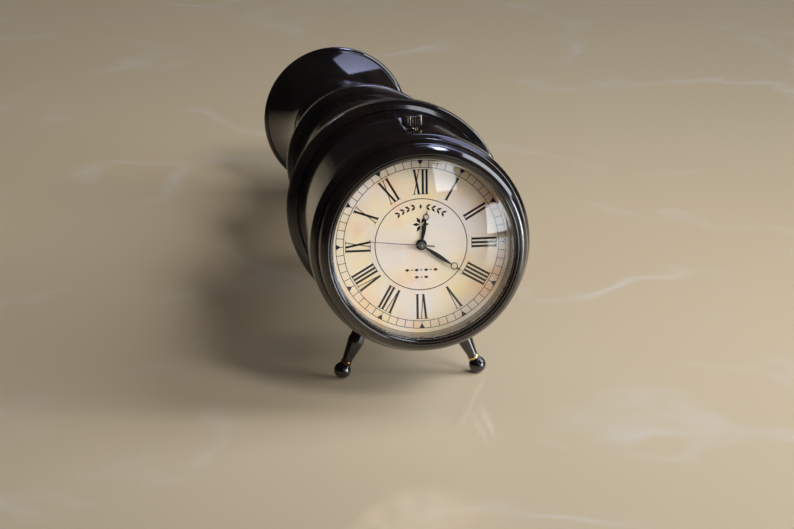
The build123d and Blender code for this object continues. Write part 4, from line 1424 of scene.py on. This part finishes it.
# %% Mix the bare brass
def brass(name, slot, light, dark, gloss):
    """Rubbed brass with brown tarnish in its patches."""
    finish, shader = new_finish(name, slot)
    tarnish = clouds(finish, 1.6, 0.42, 0.72, detail=5.0, roughness=0.65)
    set_sockets(shader, {
        "Base Color": mixed(finish, tarnish, light, dark),
        "Metallic": 1.0,
        "Roughness": spread(finish, tarnish, 0.0, 1.0, gloss, gloss + 0.22),
        "Normal": relief(finish, grain(finish, 0.25, 4.0), 0.003, 0.5),
    })
    return finish


worn_brass = brass("worn_brass", "worn_brass", (0.80, 0.60, 0.30), (0.36, 0.22, 0.09), 0.24)
# The left collar gets a much darker copy of the brass than the right one.
dark_left_collar_brass = brass("darker_copy_of_brass", "worn_brass", (0.16, 0.105, 0.05), (0.03, 0.02, 0.013), 0.3)
print("brasses:", worn_brass.name, dark_left_collar_brass.name)

# %% [markdown]
# ## Legs and ball feet
# Each leg is turned too, about a line from the clock's axis out through its ball. The ball
# itself tells where that line is: the middle of its box is the ball's centre once the small
# flat on its top is allowed for. One function makes a leg, its collar and its ball, and is
# called once for each side. The two sides differ only in the collar's brass.

# %% Turn the legs and feet
leg_lacquer = blackened_brass("blackened_brass_legs", 0.02)
leg_steps = 96
stud_radius = 1.3
stud_start = drum_bore - 3.2
leg_top_radius = 1.7
leg_swell_radius = 2.25
leg_shoulder_radius = 2.7
leg_ankle_radius = 1.75
collar_end_radius = 1.7
collar_radius = 1.85
collar_height = 1.1
collar_sink = 0.35


def leg_lathe(ball_node):
    """The lathe of one leg, with its ball's distance from the clock's axis and its radius."""
    low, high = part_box(ball_node)
    ball_radius = (high.x - low.x) / 2
    centre = Vector(((low.x + high.x) / 2, (low.y + high.y) / 2, low.z + ball_radius))
    start = dial_centre + rearward * (centre - dial_centre).dot(rearward)
    outward = (centre - start).normalized()
    place = lathe_place(start, outward, rearward)
    return place, (centre - start).length / MM, ball_radius / MM


def make_leg(side, collar_finish):
    """A leg, its collar and its ball foot."""
    place, reach, ball_radius = leg_lathe("ball_foot_" + side)
    ball_top = reach - ball_radius + collar_sink
    collar_start = ball_top - collar_height
    shoulder = reach - 10.6
    lathe("turned_leg_" + side, [
        (0.0, stud_start),
        (stud_radius, stud_start, 0.2),
        (stud_radius, drum_bore, 0.05),
        (leg_top_radius, drum_bore, 0.05),
        (leg_top_radius, drum_radius + 0.8, 0.3),
        (leg_swell_radius, shoulder - 4.2, 0.4),
        (leg_shoulder_radius, shoulder - 0.3, 0.35),
        (leg_shoulder_radius, shoulder + 0.3, 0.35),
        (leg_ankle_radius, collar_start - 0.9, 0.3),
        (leg_ankle_radius - 0.1, collar_start, 0.1),
        (0.0, collar_start),
    ], leg_lacquer, ["leg_" + side], place=place, steps=leg_steps)
    lathe("collar_" + side, [
        (0.0, collar_start),
        (collar_end_radius, collar_start, 0.15),
        (collar_radius, (collar_start + ball_top) / 2, 0.2),
        (collar_end_radius, ball_top + 0.1, 0.15),
        (0.0, ball_top + 0.1),
    ], collar_finish, ["leg_collar_" + side], place=place, steps=leg_steps)
    cut = sqrt(ball_radius ** 2 - (reach - ball_top) ** 2)
    ball = arc_through((cut, ball_top), (ball_radius, reach), (0.0, reach + ball_radius), 28)
    lathe("ball_" + side, [(0.0, ball_top)] + ball[:-1] + [(0.0, reach + ball_radius)],
          leg_lacquer, ["ball_foot_" + side], place=place, steps=leg_steps)
    return reach, ball_radius


# The left collar takes the much darker copy of the brass.
for side, collar_finish in (("left", dark_left_collar_brass), ("right", worn_brass)):
    print(side, "ball reach and radius:", make_leg(side, collar_finish))

# %% [markdown]
# ## Finishes for the works
# Inside are plastic, a circuit board and a coil. Pale plastic is slightly cloudy, a board is
# green with the weave of its glass cloth under the varnish, and a coil is wound with enamelled
# copper, so a wave pattern stands for its turns. Plastic and board are the same recipe with
# other numbers.

# %% Mix the finishes for the works
def moulded_plastic():
    """Pale moulded plastic, faintly mottled."""
    finish, shader = new_finish("moulded_plastic", "movement_plastic")
    cloud = clouds(finish, 3.0, 0.3, 0.7)
    set_sockets(shader, {
        "Base Color": mixed(finish, cloud, (0.72, 0.70, 0.64), (0.62, 0.60, 0.54)),
        "Roughness": clouds(finish, 0.5, 0.3, 0.7, 0.42, 0.58, detail=4.0),
        "Normal": relief(finish, grain(finish, 0.15), 0.004, 0.5),
    })
    return finish


def board_resist():
    """Green solder resist over glass cloth."""
    finish, shader = new_finish("board_resist", "circuit_board")
    cloth = clouds(finish, 0.4, 0.35, 0.65, detail=2.0)
    set_sockets(shader, {
        "Base Color": mixed(finish, cloth, (0.015, 0.11, 0.045), (0.03, 0.17, 0.07)),
        "Roughness": clouds(finish, 2.0, 0.3, 0.7, 0.22, 0.36, detail=4.0),
        "Normal": relief(finish, cloth, 0.01, 0.4),
    })
    return finish


def enamelled_copper():
    """Copper wire under varnish, wound in fine turns across the movement."""
    finish, shader = new_finish("enamelled_copper", "copper_wire")
    turns = add_node(finish, "ShaderNodeTexWave", {
        "Vector": object_place(finish), "Scale": 1.0 / (1.6 * MM), "Distortion": 0.4,
        "Detail": 2.0,
    }, bands_direction="X").outputs["Fac"]
    set_sockets(shader, {
        "Base Color": mixed(finish, turns, (0.34, 0.11, 0.035), (0.62, 0.25, 0.09)),
        "Metallic": 1.0,
        "Roughness": spread(finish, turns, 0.0, 1.0, 0.38, 0.26),
        "Normal": relief(finish, turns, 0.04, 0.6),
    })
    return finish


plastic, board, copper = moulded_plastic(), board_resist(), enamelled_copper()
grained_brass = brass("grained_brass", "movement_brass", (0.78, 0.60, 0.28), (0.60, 0.43, 0.18),
                      0.26)
print("finishes for the works:", [made.name for made in (plastic, board, copper, grained_brass)])

# %% [markdown]
# ## Dress the works
# The movement's solids are already the right shape, so they keep their meshes and only get real
# finishes. The record names a slot for every solid, so one table from slot to finish dresses
# them all. The stem's tube is the one exception: its rim shows where the crown goes in, and it
# is black there.

# %% Dress the works
slot_finish = {
    "black_lacquer": black_lacquer,
    "worn_brass": worn_brass,
    "movement_brass": grained_brass,
    "steel": bright_steel,
    "reflector_steel": reflector_steel,
    "movement_plastic": plastic,
    "circuit_board": board,
    "copper_wire": copper,
    "glass": clear_glass,
    "dial_parchment": dial_paper,
    "hand_black": black_hands,
}
for subpart in frame["record"]["subparts"]:
    node = frame["nodes"][subpart["node"]]
    node.data.materials.clear()
    node.data.materials.append(slot_finish[subpart["material_slot"]])
frame["nodes"]["stem_tube"].data.materials[0] = black_lacquer

# %% [markdown]
# ## Finish
# Pretty details must not make the clock larger than its model.

# %% Finish
import json
